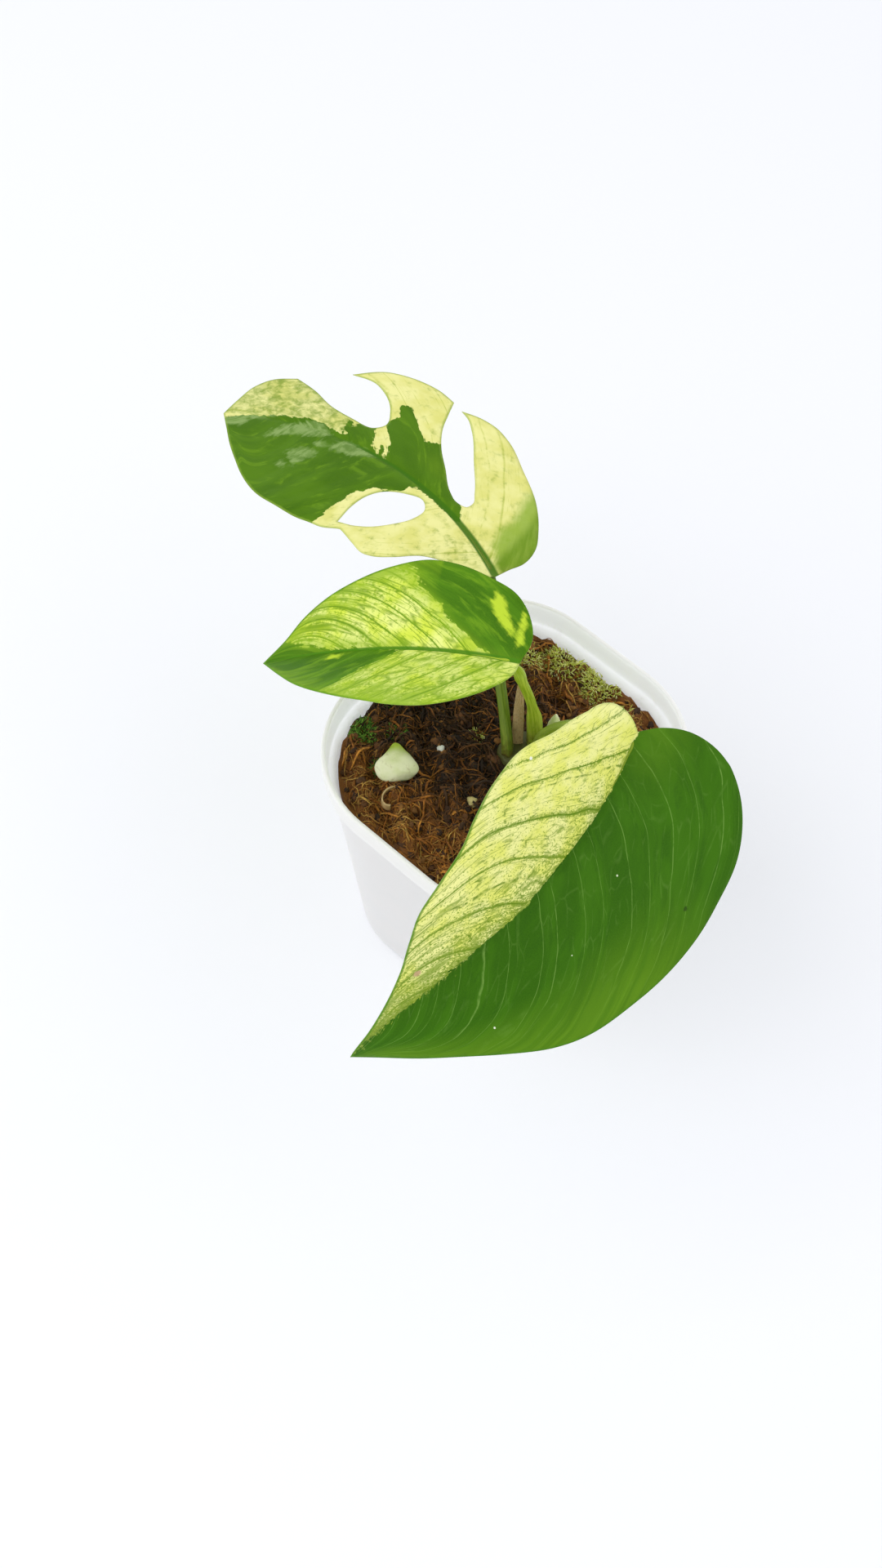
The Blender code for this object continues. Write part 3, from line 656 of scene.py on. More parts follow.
def edge_distance(points, outline):
    """The distance from each point to the nearest straight piece of a closed outline."""
    nearest = np.full(len(points), 1e9)
    for start, end in zip(outline, np.roll(outline, -1, axis=0)):
        way = end - start
        share = np.clip((points - start) @ way / max(way @ way, 1e-12), 0, 1)
        gap = points - start - share[:, None] * way
        nearest = np.minimum(nearest, np.einsum("ij,ij->i", gap, gap))
    return np.sqrt(nearest)


def signed(points, outlines):
    """The signed distance to several closed shapes taken together, at most FAR."""
    best = np.full(len(points), -FAR)
    for outline in outlines:
        outline = np.array(outline, float)
        gap = edge_distance(points, outline)
        best = np.maximum(best, np.where(inside(points, outline), gap, -gap))
    return np.clip(best, -FAR, FAR)


# %% Cut the blade flat
OUTLINE_STEP = 0.55
GRID_STEP = 0.85
RIB_STEP = 0.7
RIB_ROWS = (0, 0.35, 0.8, 1.4, -0.35, -0.8, -1.4)
RIB_ZONE = 1.9
CLEARANCE = 0.3


def flat_blade(leaf):
    """Flat points, triangles and border edges: outline, rows beside the midrib, hex grid."""
    out = np.concatenate([smooth_run(run, OUTLINE_STEP) for run in leaf["left"]])
    home = np.concatenate([smooth_run(run[::-1], OUTLINE_STEP) for run in leaf["right"][::-1]])
    loops = [np.concatenate([out, home])]
    if leaf["window"]:
        loops.append(smooth_run(leaf["window"] + leaf["window"][:1], OUTLINE_STEP)[::-1])
    x, row = np.meshgrid(np.arange(-8, leaf["length"], GRID_STEP * 0.87), np.arange(-48, 49), indexing="ij")
    shift = (np.arange(len(x)) % 2 * 0.5)[:, None]
    grid = np.stack([x, (row + shift) * GRID_STEP], axis=-1).reshape(-1, 2)
    grid = grid[np.abs(grid[:, 1]) > RIB_ZONE]
    rib_x = np.arange(0.6, leaf["length"] - 1.0, RIB_STEP)
    inner = np.concatenate([np.array([(a, b) for b in RIB_ROWS for a in rib_x]), grid])
    good = inside(inner, loops[0]) & (edge_distance(inner, loops[0]) > CLEARANCE)
    for window in loops[1:]:
        good &= ~inside(inner, window) & (edge_distance(inner, window) > CLEARANCE)
    points = np.concatenate(loops + [inner[good]])
    links, first = [], 0
    for loop in loops:
        turn = np.arange(len(loop))
        links.append(np.stack([turn, (turn + 1) % len(loop)], axis=1) + first)
        first += len(loop)
    links = np.concatenate(links)
    verts, _, faces, *_ = delaunay_2d_cdt([Vector(p) for p in points], links.tolist(), [], 0, 1e-5)
    flat = np.array([tuple(v) for v in verts])
    faces = np.array(faces)
    middles = flat[faces].mean(axis=1)
    good = inside(middles, loops[0])
    for window in loops[1:]:
        good &= ~inside(middles, window)
    return flat, faces[good], links, loops


# %% [markdown]
# ## Veins
# The side veins leave the midrib at a steep angle and bend towards the tip as they near the
# margin. So a point's vein number, its phase, is x less a lead that grows with how far out
# it is: lead = a * s + b * s cubed, where s is its distance from the midrib as a share of
# the half width there. Points with the same phase lie on the same vein. The lead differs on
# the two halves of a leaf, as it does in the photo.

# %% Vein leads for the left and right half of each leaf
LEADS = {
    "leaf_lower": ((22.0, 16.0), (22.0, 16.0)),
    "leaf_middle": ((16.0, 1.0), (28.0, 3.0)),
    "leaf_upper": ((8.0, 6.0), (24.0, 4.0)),
}
BELL_REACH = 9


def half_width(leaf, x, w):
    """The half width at x on w's side: the widest edge point near it, smoothed by a bell curve."""
    widths = np.zeros_like(x)
    bell = np.exp(-(np.arange(-BELL_REACH, BELL_REACH + 1) / (BELL_REACH / 2)) ** 2)
    spots = np.arange(0, leaf["length"] + 1, 1.0)
    taper = np.interp(spots, [0, leaf["length"] * 0.8, leaf["length"]], [1, 1, 0.25])
    for runs, side in ((leaf["left"], w >= 0), (leaf["right"], w < 0)):
        edge = np.array([p for run in runs for p in run])
        near = [edge[np.abs(edge[:, 0] - spot) < 7, 1] for spot in spots]
        reach = np.array([np.abs(part).max(initial=0.5) for part in near])
        padded = np.pad(reach * taper, BELL_REACH, mode="edge")
        smoothed = np.convolve(padded, bell / bell.sum(), mode="valid")
        widths[side] = np.interp(x[side], spots, smoothed)
    return np.maximum(widths, 1.0)


def vein_phase(name, leaf, x, w):
    """The place on the midrib, in millimetres, that the vein through a point starts from."""
    share = np.clip(np.abs(w) / half_width(leaf, x, w), 0, 1)
    left, right = LEADS[name]
    a, b = np.where(w >= 0, left[0], right[0]), np.where(w >= 0, left[1], right[1])
    near_base = 0.6 + 0.4 * np.clip(x / 22.0, 0, 1)
    return x - (a * share + b * share ** 3) * near_base, share


# %% [markdown]
# ## Patches of green and cream
# The plant is variegated: cells that lack green make cream or yellow-green areas with sharp,
# ragged borders. Each patch is a short outline in the flat leaf. The lower leaf is split
# along its midrib, the middle one is yellow green with a dark shoulder and tip, and the
# upper one is cream with one large green area that has two peaks and a notch.

# %% Outlines of the patches, in flat leaf millimetres
LOWER_SPLIT = np.array([(-8, 0.0), (3, 0.1), (11, 0.1), (19, -0.1), (31, -1.0), (44, 0.4), (55, -0.5),
                        (65, 0), (95, 0)])
MIDDLE_SHOULDER = [(31.3, -22), (31.3, -19.6), (29.3, -19.1), (27.7, -17.1), (26.9, -15.2), (24.5, -13.4),
                   (21.2, -10.7), (19.8, -8.8), (17.3, -6.2), (14.4, -4.6), (11.7, -3.0), (9.3, -1.4),
                   (6.2, -0.4), (3, 0.3), (-3, 0.2), (-5, -14), (8, -24)]
MIDDLE_TIP = [(28, 0.6), (30.5, 4.2), (34.7, 8.4), (38.9, 12.8), (43.1, 15.4), (46, 18), (70, 6), (70, -6),
              (61.2, -3.6), (57.5, -3.8), (53, -2.1), (47.4, -0.7), (38, -0.3)]
MIDDLE_STREAKS = [
    [(10.3, -12.4), (9.9, -14.7), (8.2, -13.8), (6.3, -11.0), (4.4, -8.1), (2.8, -5.5), (4.1, -5.6),
     (6.6, -7.7), (8.7, -9.8)],
    [(3.0, -12.3), (1.5, -8.7), (0.8, -4.1), (1.9, -2.8), (2.8, -6.5), (2.9, -10.4)],
    [(46.3, 3.0), (45.4, 1.7), (42.1, 1.8), (42.5, 3.3)],
]
UPPER_GREEN = [
    (84, 4), (82.3, 1.3), (77.7, 0.2), (70.3, -1.4), (62.7, -2.6), (58.2, -1.9), (53.9, -1.6), (53.0, -2.0),
    (54.8, -3.6), (54.8, -5.2), (54.6, -6.7), (53.8, -6.3), (53.5, -4.7), (52.5, -5.1), (52.5, -6.5),
    (51.7, -8.4), (49.2, -9), (47.2, -3.8), (46.3, -1.7), (43.2, -0.2), (44.9, -3.0), (45.2, -4.5),
    (44.2, -3.6), (42.4, -0.8), (41.6, -0.4), (42.4, -2.6), (43.6, -5.3), (46.0, -7.9), (47.7, -9.6),
    (47.9, -12.0), (47.0, -13.9), (47.3, -15.8), (48.5, -17.3), (47.7, -18.4), (46.5, -18.5),
    (44.1, -16.1), (41.7, -13.6), (40.1, -12.7), (38.3, -10.8), (37.8, -12.2), (36.7, -12.4),
    (35.4, -13.5), (31, -10), (20, -3), (17, -0.6), (18, 0.9), (24.8, 1.1), (28.8, 1.4), (30.3, 1.2),
    (31.1, 3.1), (30.7, 4.3), (33.0, 6.6), (34.3, 8.1), (36.7, 9.0), (37.5, 11.8), (39.7, 12.5),
    (39.3, 14.9), (39.4, 17.6), (40.5, 21.2), (39.4, 24.1), (40.1, 30), (84, 30)]
# Pale grey-green patches in the upper leaf's green area: painted sheen.
UPPER_PAINTED_SHEEN = [
    [(70.1, 7.0), (69.2, 4.0), (67.1, 1.4), (64.8, -0.4), (61.4, -1.9), (59.1, -1.4), (56.3, -0.3),
     (56.6, 1.2), (60.1, 2.7), (63.8, 4.0), (66.5, 5.3)],
    [(57.8, 4.9), (56.7, 3.0), (54.8, 4.3), (52.3, 1.0), (51.1, -0.6), (48.5, 0.0), (43.3, 0.8),
     (44.9, 1.8), (48.0, 4.0), (52.4, 4.5), (55.4, 5.3)],
    [(62.6, 10.9), (61.1, 8.4), (58.9, 7.1), (55.8, 7.2), (55.5, 8.8), (57.4, 10.7), (58.2, 13.4),
     (58.5, 14.5), (60.4, 12.7)],
    [(63.3, 15.3), (62.2, 13.7), (59.9, 14.7), (61.0, 15.8)],
    [(84, -1), (78.1, -1.6), (71.0, -3.3), (67.8, -2.8), (71.9, -0.3), (76.3, 1.6), (77.7, 3.9), (84, 4)],
]
UPPER_BASE = [(2, -0.5), (3.5, -2.0), (7.8, -3.3), (11.1, -7.4), (11.6, -10.7), (13.3, -14.2),
              (15.0, -16.8), (17, -22), (6, -22), (-2, -10)]


def hill(value, centre, width):
    """A bell curve: 1 at the centre, falling to e to the minus 1 at a width from it."""
    return np.exp(-((value - centre) / width) ** 2)


def colour_marks(name, leaf, flat):
    """Signed distances to the patches, and how thickly green flecks cover the pale part."""
    x, w = flat[:, 0], flat[:, 1]
    margin_share = np.clip(np.abs(w) / half_width(leaf, x, w), 0, 1)
    along = x / leaf["length"]
    marks = dict(grey=np.full(len(x), -FAR), bright=np.full(len(x), -FAR))
    if name == "leaf_lower":
        split = w - np.interp(x, *LOWER_SPLIT.T)
        crisper = 1 + 2.2 * np.clip((x - 50) / 12, 0, 1)
        near_rib = np.exp(-np.abs(w) / 9.0) * np.clip(x / 14, 0, 1)
        # On this leaf the soft mark is all painted light: a painted sheen near the base of the green half
        # and a painted sunlit band along its outer margin.
        sheen = 0.45 * hill(x, 0, 8) * hill(w, 4, 7) * (w > 0)
        sunny = 0.75 * np.clip((margin_share - 0.5) * 2.4, 0, 1) * np.clip((x - 18) / 20, 0, 1) * (w > 0)
        marks.update(green=np.clip(split, -FAR, FAR) / crisper, flecks=0.12 + 0.29 * along + 0.28 * near_rib,
                     soft=sheen + sunny)
    elif name == "leaf_middle":
        green = signed(flat, [MIDDLE_SHOULDER, MIDDLE_TIP])
        beside = 0.55 * hill(green, -1.0, 1.6) * (w < 0)
        margin = 0.5 * margin_share ** 6 * (along > 0.35)
        lower_half = 0.3 * np.clip(w / 3, 0, 1) * (green < 0)
        marks.update(green=green, bright=signed(flat, MIDDLE_STREAKS),
                     flecks=0.18 + 0.34 * margin_share ** 3 + 0.3 * along ** 2 + 0.1 * (w > 0),
                     soft=np.clip(beside + margin + lower_half, 0, 1))
    else:
        tip_lobe = np.clip((x - 48) / 6, 0, 1) * (w < 0) * (w > -9 - 0.45 * (x - 48))
        base = hill(x, 9, 7) * hill(w, 6, 7)
        shoulder_edge = np.interp(-w, [1.4, 7.0, 10.3, 14.8, 17.1], [3.6, 6.1, 7.8, 9.6, 11.1])
        shoulder = np.clip((shoulder_edge - x) / 2 + 0.5, 0, 1) * np.clip(-w - 1, 0, 1)
        peak = 0.6 * hill(x, 31, 5) * hill(w, -7.5, 3)
        marks.update(green=signed(flat, [UPPER_GREEN]), grey=signed(flat, UPPER_PAINTED_SHEEN),
                     bright=signed(flat, [UPPER_BASE]), flecks=0.04 + 0.46 * tip_lobe + 0.25 * base,
                     soft=np.clip(0.85 * shoulder + peak, 0, 1))
    return marks


# %% [markdown]
# ## Leaf finish
# One recipe serves the three leaves, each with its own colours. It mixes, in this order: the
# pale ground with soft clouds, green flecks drawn out along the veins, the green area cut
# from the stored distance with ragged noise, its grey-green patches of painted sheen and its
# bright patches, a soft lighter area that is painted sheen and sunlight on the lower leaf, the
# veins, the midrib and the thin dark line of the margin. The veins also press the surface in a little.

# %% The recipe for a leaf
FLAT_SCALE = 100.0


def leaf_finish(name, tones):
    """Builds the material of one leaf from its table of colours."""
    paint, g = new_finish(name)
    t = SimpleNamespace(**tones)
    apart = g.add("ShaderNodeVectorMath", {0: g.flat(), "Scale": FLAT_SCALE}, operation="SCALE")
    x, w = g.part(apart, 0), g.part(apart, 1)
    phase = g.mark("phase")
    half = g.maths("SIGN", w) * 30.0
    by_vein = g.join(phase, half)
    uneven = (g.noise(by_vein, 0.12, 1.0) - 0.5) * (t.step * 0.9)
    wander = (g.noise(apart, 0.07, 2.0) - 0.5) * t.wander
    bent = phase + (uneven + wander)
    drawn_out = g.join(bent, w * 0.3)
    less_drawn = g.join(bent, w * 0.5, half)

    def broken(line, size, low, high, least, most):
        """The same line, fainter and bolder by patchy noise."""
        return line * g.ramp(g.noise(apart, size, 4.0, 0.7), low, high, least, most)

    inner = g.ramp(g.mark("reach"), 0.86, 1.0, 1.0, 0.3)
    strength = g.ramp(g.noise(by_vein, 0.3, 1.0), 0.32, 0.62, t.vein_floor, 1.0)
    main = broken(g.use(VEINS, bent, t.step, t.main_width, 0.1), 0.6, 0.28, 0.5, 0.45, 1.0) * strength
    second = broken(g.use(VEINS, bent, t.step / 3, 0.22, 0.8), 0.35, 0.42, 0.6, 0.05, 0.75)
    thin = broken(g.use(VEINS, bent, t.step / 2, 0.16, 0.1), 0.3, 0.36, 0.56, 0.25, 1.0)
    net_area = g.ramp(g.noise(apart, 0.25, 3.0, 0.6), t.net_from, t.net_from + 0.25)
    net = g.ramp(g.net(less_drawn, 0.42), 0.0, t.net_width, 1.0, 0.0) * (net_area * t.net_share)
    lines = g.maths("MAXIMUM", main, g.maths("MAXIMUM", second, net)) * inner
    fine_lines = g.maths("MAXIMUM", thin, net * 0.4) * inner

    pale = g.mix(g.ramp(g.noise(apart, 0.12, 3.0, 0.6), 0.38, 0.66), t.pale, t.pale_deep)
    near_vein = g.use(VEINS, bent, t.step, t.feather, 0.1) * strength * t.feather_share
    cover = g.mark("flecks") + (near_vein + lines * 0.2)
    flecks = g.use(PATCHES, less_drawn, t.fleck_size, cover, 0.1)
    dust = g.use(PATCHES, apart, t.dust_size, cover, t.dust_soft)
    pale = g.mix(g.maths("MAXIMUM", flecks * t.blotch_share, dust * t.dust_share), pale, t.fleck)
    pale = g.mix(lines * t.pale_vein_share, pale, t.pale_vein)

    deep = g.mix(g.ramp(g.noise(less_drawn, 0.16, 4.0, 0.6), 0.35, 0.68), t.green, t.green_light)
    deep = g.mix(g.use(PATCHES, less_drawn, 0.4, t.green_cover, 0.09) * 0.65, deep, t.green_fleck)
    deep = g.mix(g.ramp(g.noise(apart, 3.2, 2.0), 0.35, 0.65, 0.0, 0.3), deep, t.green_light)
    deep = g.mix(fine_lines * t.green_vein_share, deep, t.green_vein)

    jag = (g.noise(apart, 0.5, 4.0, 0.65, 0.4) - 0.5) * t.ragged
    tooth = (g.noise(drawn_out, 0.9, 3.0, 0.6) - 0.5) * (t.ragged * 1.1)
    rough_edge = jag + tooth
    # Grey-green patches with a ragged, broken edge: painted sheen on the green area.
    grey = g.ramp(g.mark("grey") + rough_edge * 1.5, -0.8, 0.8)
    grey = grey * g.ramp(g.noise(less_drawn, 0.6, 4.0, 0.65), 0.38, 0.58, 0.35, 0.9)
    deep = g.mix(grey, deep, t.grey)
    colour = g.mix(g.ramp(g.mark("green") + rough_edge, -0.12, 0.12), pale, deep)
    bright = g.ramp(g.mark("bright") + rough_edge * 0.6, -t.bright_soft, t.bright_soft)
    colour = g.mix(bright * t.bright_share, colour, t.bright)
    # The soft mark lightens the colour. On the lower leaf it is painted sheen and painted sunlight; on the
    # other two it is a paler green of the leaves' own.
    soft = g.mark("soft") * g.ramp(g.noise(drawn_out, 0.4, 3.0), 0.3, 0.6, 0.6, 1.0)
    colour = g.mix(soft, colour, t.soft)
    for spot, radius, code in t.spots:
        away = g.add("ShaderNodeVectorMath", {0: apart, 1: (*spot, 0.0)}, output=1, operation="DISTANCE")
        torn = away + g.noise(apart, 2.5, 3.0) * radius
        colour = g.mix(g.ramp(torn, radius, radius * 1.5, 0.9, 0.0), colour, code)

    rib_width = g.ramp(x, 0.0, t.rib_end, 1.0, 0.35) * t.rib_width
    rib = 1.0 - g.ramp(g.maths("ABSOLUTE", w), rib_width * 0.5, rib_width)
    rib = rib * g.ramp(x, t.rib_end * 0.8, t.rib_end, 1.0, 0.0)
    colour = g.mix(rib * t.rib_share, colour, t.rib)
    rim = g.ramp(g.mark("margin") + rough_edge * 0.2, 0.15, 0.6, 1.0, 0.0)
    colour = g.mix(rim * g.mark("rim"), colour, t.rim)
    under = g.mark("under")
    height = g.use(GRAIN, apart, 2.6) * 0.5 - lines * 0.15
    worn = g.maths("ADD", t.waxy, g.noise(apart, 0.3, 3.0) * 0.16)
    g.shade({"Base Color": g.mix(under * 0.35, colour, t.under), "Roughness": worn + under * 0.2,
             "Specular IOR Level": 0.14, "Specular Tint": (0.95, 1.0, 0.7, 1.0),
             "Normal": g.bump(height, 0.06)})
    return paint


# %% The three leaves' tables: vein step in millimetres, colours, shares and sizes
LOOKS = {
    "leaf_lower": dict(
        slot="leaf_green", step=12.5, ragged=1.3, waxy=0.4, pale="F8F8A0", pale_deep="EDF076",
        fleck="74960E", blotch_share=0.76, fleck_size=1.0, dust_share=0.88, dust_size=1.9, dust_soft=0.07,
        pale_vein="567C04", pale_vein_share=0.98, main_width=0.34, wander=2.2, vein_floor=0.45,
        feather=1.6, feather_share=0.38, net_width=0.06, net_share=0.58, net_from=0.4,
        green="2F6002", green_light="3B6F07", green_cover=0.3, green_fleck="2A5A04",
        # soft: for this leaf the colour of its painted sheen and painted sunlight.
        green_vein="8CB458", green_vein_share=0.5, grey="8CAF6C", soft="639018",
        bright="C8DC40", bright_share=0.0, bright_soft=0.8, rib="35700F", rib_share=0.0, rib_width=0.9,
        rib_end=80.0, rim="4E8414", rim_share=0.85, under="9DB777",
        spots=[((63.1, 14.6), 0.3, "F1F5E2"), ((26.0, 10.5), 0.25, "DCE8C4"),
               ((42.6, 14.2), 0.2, "DCE8C4"), ((23.2, 26.4), 0.55, "2A4A0C"),
               ((22.3, -30.5), 0.6, "FFFFFA"), ((66.5, -7.3), 1.0, "C9A57E")]),
    "leaf_middle": dict(
        slot="leaf_yellow_green", step=7.8, ragged=2.6, waxy=0.4, pale="EAF28C", pale_deep="D8E850",
        fleck="8AB010", blotch_share=0.78, fleck_size=0.5, dust_share=0.8, dust_size=1.3, dust_soft=0.1,
        pale_vein="5A860A", pale_vein_share=0.95, main_width=0.46, wander=1.4, vein_floor=0.8,
        feather=1.5, feather_share=0.26, net_width=0.11, net_share=0.6, net_from=0.3,
        green="3C6C02", green_light="4F820A", green_cover=0.36, green_fleck="78A41C",
        green_vein="2F6002", green_vein_share=0.5, grey="8CAF6C", soft="8FB51E",
        bright="C2DC38", bright_share=0.9, bright_soft=0.6, rib="4A820A", rib_share=0.95, rib_width=0.95,
        rib_end=66.0, rim="5F9410", rim_share=0.85, under="AECB78", spots=[]),
    "leaf_upper": dict(
        slot="leaf_cream", step=14.0, ragged=2.0, waxy=0.42, pale="ECEA9C", pale_deep="DDDC7E",
        fleck="76942A", blotch_share=0.3, fleck_size=0.5, dust_share=0.85, dust_size=0.5, dust_soft=0.2,
        pale_vein="AEBA48", pale_vein_share=0.6, main_width=0.45, wander=2.0, vein_floor=0.3,
        feather=1.4, feather_share=0.1, net_width=0.1, net_share=0.3, net_from=0.4,
        green="406A02", green_light="517C08", green_cover=0.26, green_fleck="6E9818",
        green_vein="386404", green_vein_share=0.4, grey="8CA860", soft="62880E",
        bright="87AA2E", bright_share=0.85, bright_soft=1.6, rib="3C6E06", rib_share=0.95, rib_width=1.3,
        rib_end=56.0, rim="8FAE40", rim_share=0.55, under="C5D093", spots=[]),
}
FINISHES = {
    "leaf_lower": leaf_finish("leaf green and cream", LOOKS["leaf_lower"]),
    "leaf_middle": leaf_finish("leaf yellow green", LOOKS["leaf_middle"]),
    "leaf_upper": leaf_finish("leaf cream and green", LOOKS["leaf_upper"]),
}
print("Leaf finishes:", ", ".join(paint.name for paint in FINISHES.values()))

# %% [markdown]
# ## Laying the blades
# The upper skin is the folded surface raised by 0.35 mm, less a valley along the midrib and
# plus a slight swell between the veins. The lower skin follows 0.4 mm below it, thinner
# at the margin, with the midrib standing out, as it does on the back of a leaf.

# %% Make the three blades
VALLEY_DEPTH = 0.45
RIB_HEIGHT = 0.95
SWELL = 0.13
THIN_EDGE = 0.2
THICKER = 0.22


def lay_blade(name, leaf):
    """Two skins cut alike, displaced along the normal, and joined round every edge."""
    looks = LOOKS[name]
    flat, triangles, links, loops = flat_blade(leaf)
    x, w = flat[:, 0], flat[:, 1]
    gap = np.minimum.reduce([edge_distance(flat, loop) for loop in loops])
    phase, reach = vein_phase(name, leaf, x, w)
    middle, normal = blade_surface(leaf, x, w), blade_normal(leaf, x, w)
    fade = (1 - np.clip(x / leaf["length"], 0, 1)) ** 0.6
    inner = 1 - np.exp(-gap / 1.2)
    valley = VALLEY_DEPTH * fade * hill(w, 0, 0.85)
    swell = SWELL * np.abs(np.sin(math.pi * (phase / looks["step"] * 2 + 0.1))) ** 0.7
    swell = swell * inner * np.clip(np.abs(w) / 3, 0, 1)
    rib = RIB_HEIGHT * fade * hill(w, 0, 0.8) * np.clip((x + 1) / 2, 0, 1)
    top = BLADE_HALF - valley * inner + swell - 0.08 * (1 - inner)
    upper = middle + normal * top[:, None]
    lower = middle + normal * (top - (THIN_EDGE + THICKER * inner) - rib * inner)[:, None]
    count = len(flat)
    a, b = links[:, 0], links[:, 1]
    faces = np.concatenate([triangles, triangles[:, ::-1] + count, np.stack([a, b, b + count], axis=1),
                            np.stack([a, b + count, a + count], axis=1)])
    marks = colour_marks(name, leaf, flat)
    rim = looks["rim_share"] * np.clip((x - 18) / 20, 0.25, 1)
    marks.update(phase=phase, reach=reach, margin=gap, rim=rim)
    marks = {word: np.concatenate([values, values]) for word, values in marks.items()}
    marks["under"] = np.repeat([0.0, 1.0], count)
    make_piece(name + "_blade", np.concatenate([upper, lower]), faces, FINISHES[name], looks["slot"],
               flat=np.concatenate([flat, flat]) / FLAT_SCALE, marks=marks, stands_for=name)


for name, leaf in LEAVES.items():
    lay_blade(name, leaf)

# %% [markdown]
# ## Stalks
# Each stalk climbs from the crown and bends to meet its blade, then runs on under it as the
# root of the midrib. Low down it is wrapped by a sheath, whose two edges leave a groove
# between low wings. So the section isn't a circle: its radius is larger at the wings and
# smaller in the groove, and both fade where the sheath ends.

# %% Stalk sizes, the same as in the CAD: seat on the crown, radii, sheath's end and bends
CROWN_TOP = 66.4
STALKS = {
    "petiole_lower": dict(seat=(5.4, -4.7), low=1.7, high=1.35, sheath=13.0, rise=18.0, meet=12.0,
                          groove=2.4, sunny=0.4),
    "petiole_middle": dict(seat=(8.0, -1.7), low=1.75, high=1.1, sheath=15.0, rise=20.0, meet=9.0,
                           groove=0.4, sunny=1.0),
    "petiole_upper": dict(seat=(1.6, 0.7), low=1.35, high=1.25, sheath=9.0, rise=14.0, meet=9.0,
                          groove=-2.6, sunny=0.0),
}
STALK_SIDES = 36
STALK_UNDER = 0.75
SEAT_SINK = 0.4


def carried_rings(route, radii, shape):
    """Rings round a route: centre + radius * (cos * across + sin * other), never twisting."""
    ahead = np.gradient(route, axis=0)
    ahead /= np.linalg.norm(ahead, axis=1, keepdims=True)
    across = np.cross(ahead[0], (0.3, 0.9, 0.1))
    frames = []
    for way in ahead:
        across = across - way * (across @ way)
        across = across / np.linalg.norm(across)
        frames.append(across)
    across = np.array(frames)[:, None, :]
    other = np.cross(ahead[:, None, :], across)
    angle = round_steps(shape.shape[1])[None, :, None]
    reach = (np.asarray(radii)[:, None] * shape)[..., None]
    return route[:, None, :] + reach * (np.cos(angle) * across + np.sin(angle) * other)


def stalk_route(leaf, stalk):
    """A cubic curve from the seat to the blade, then points along the blade's underside."""
    x, w = np.array([0.9]), np.array([0.0])
    normal = blade_normal(leaf, x, w)[0]
    top = blade_surface(leaf, x, w)[0] - normal * (BLADE_HALF + STALK_UNDER)
    foot = np.array([*stalk["seat"], CROWN_TOP - SEAT_SINK])
    bends = [foot, foot + (0, 0, stalk["rise"]), top - normal * stalk["meet"], top]
    t = np.linspace(0, 1, 64)[:, None]
    climb = ((1 - t) ** 3 * bends[0] + 3 * t * (1 - t) ** 2 * bends[1]
             + 3 * t * t * (1 - t) * bends[2] + t ** 3 * bends[3])
    climb = climb[np.linalg.norm(climb - top, axis=1) > 1.6]
    x = np.linspace(3.0, 16.0, 14)
    run = blade_surface(leaf, x, 0 * x) - blade_normal(leaf, x, 0 * x) * (0.55 - 0.2 * (x / 16.0))[:, None]
    return climb, run


def build_stalk(name, leaf, surface):
    """One stalk as a grid of rings: two wings at the groove's sides and a dip between them."""
    stalk = STALKS[name]
    climb, run = stalk_route(leaf, stalk)
    route = smooth_run(np.concatenate([climb[::3], run[::2]]), 0.7)
    climbed = np.concatenate([[0], np.cumsum(np.linalg.norm(np.diff(route, axis=0), axis=1))])
    knee = climbed[np.argmin(np.linalg.norm(route - climb[-1], axis=1))]
    narrow = 1 / (1 + np.exp(-(climbed - stalk["sheath"]) / 1.6))
    swollen = 0.22 * hill(climbed, knee - 2.0, 2.2)
    radii = stalk["low"] + (stalk["high"] - stalk["low"]) * narrow + swollen
    tail = np.clip((climbed - knee) / (climbed[-1] - knee), 0, 1)
    radii = radii * (1 - tail) ** 0.5 * (1 - 0.45 * np.clip(tail * 3, 0, 1)) + 0.12 * tail
    angle = np.linspace(-math.pi, math.pi, STALK_SIDES, endpoint=False)[None, :]
    off = (angle - stalk["groove"] + math.pi) % (2 * math.pi) - math.pi
    wrapped = (1 - narrow)[:, None]
    wings = (0.02 + 0.10 * wrapped) * (hill(off, 0.75, 0.22) + hill(off, -0.75, 0.22))
    shape = 1 + wings - (0.03 + 0.2 * wrapped) * hill(off, 0, 0.45)
    points, faces = closed_loft(carried_rings(route, radii, shape))
    turn = np.tile(np.arange(STALK_SIDES) / STALK_SIDES, len(route))
    height = np.repeat(climbed / FLAT_SCALE, STALK_SIDES)
    marks = dict(wrapped=np.repeat(1 - narrow, STALK_SIDES), sunny=np.full(turn.shape, stalk["sunny"]),
                 groove=hill(np.tile(off[0], len(route)), 0, 0.6))
    make_piece(name + "_skin", points, faces, surface, "stalk", flat=np.stack([height, turn], axis=1),
               marks=marks, stands_for=name)


# %% Stalk finish: satin green with long pale streaks, paler in the groove, brownish at the foot
stalk_green, g = new_finish("stalk green")
place, flat = g.place(), g.flat()
length, turn = g.part(flat, 0), g.part(flat, 1) * (2 * math.pi)
round_about = g.join(g.maths("SINE", turn) * 1.6, g.maths("COSINE", turn) * 1.6, length * 6.0)
streaks = g.ramp(g.noise(round_about, 2.6, 3.0, 0.6), 0.36, 0.66)
dark_body = g.mix(streaks, "4E6A08", "728C22")
body = g.mix(g.mark("sunny"), dark_body, g.mix(streaks, "8CAA16", "B8CE40"))
body = g.mix(g.mark("groove") * 0.3, body, "B2C45E")
body = g.mix(g.mark("wrapped") * g.ramp(streaks, 0.0, 1.0, 0.05, 0.3), body, "9DA84A")
foot = g.ramp(length, 0.0, 0.09, 0.9, 0.0) * g.ramp(g.noise(place, 500.0, 3.0), 0.3, 0.6)
body = g.mix(foot, body, "5E4E20")
specks = g.use(PATCHES, place, 1600.0, 0.12, 0.04)
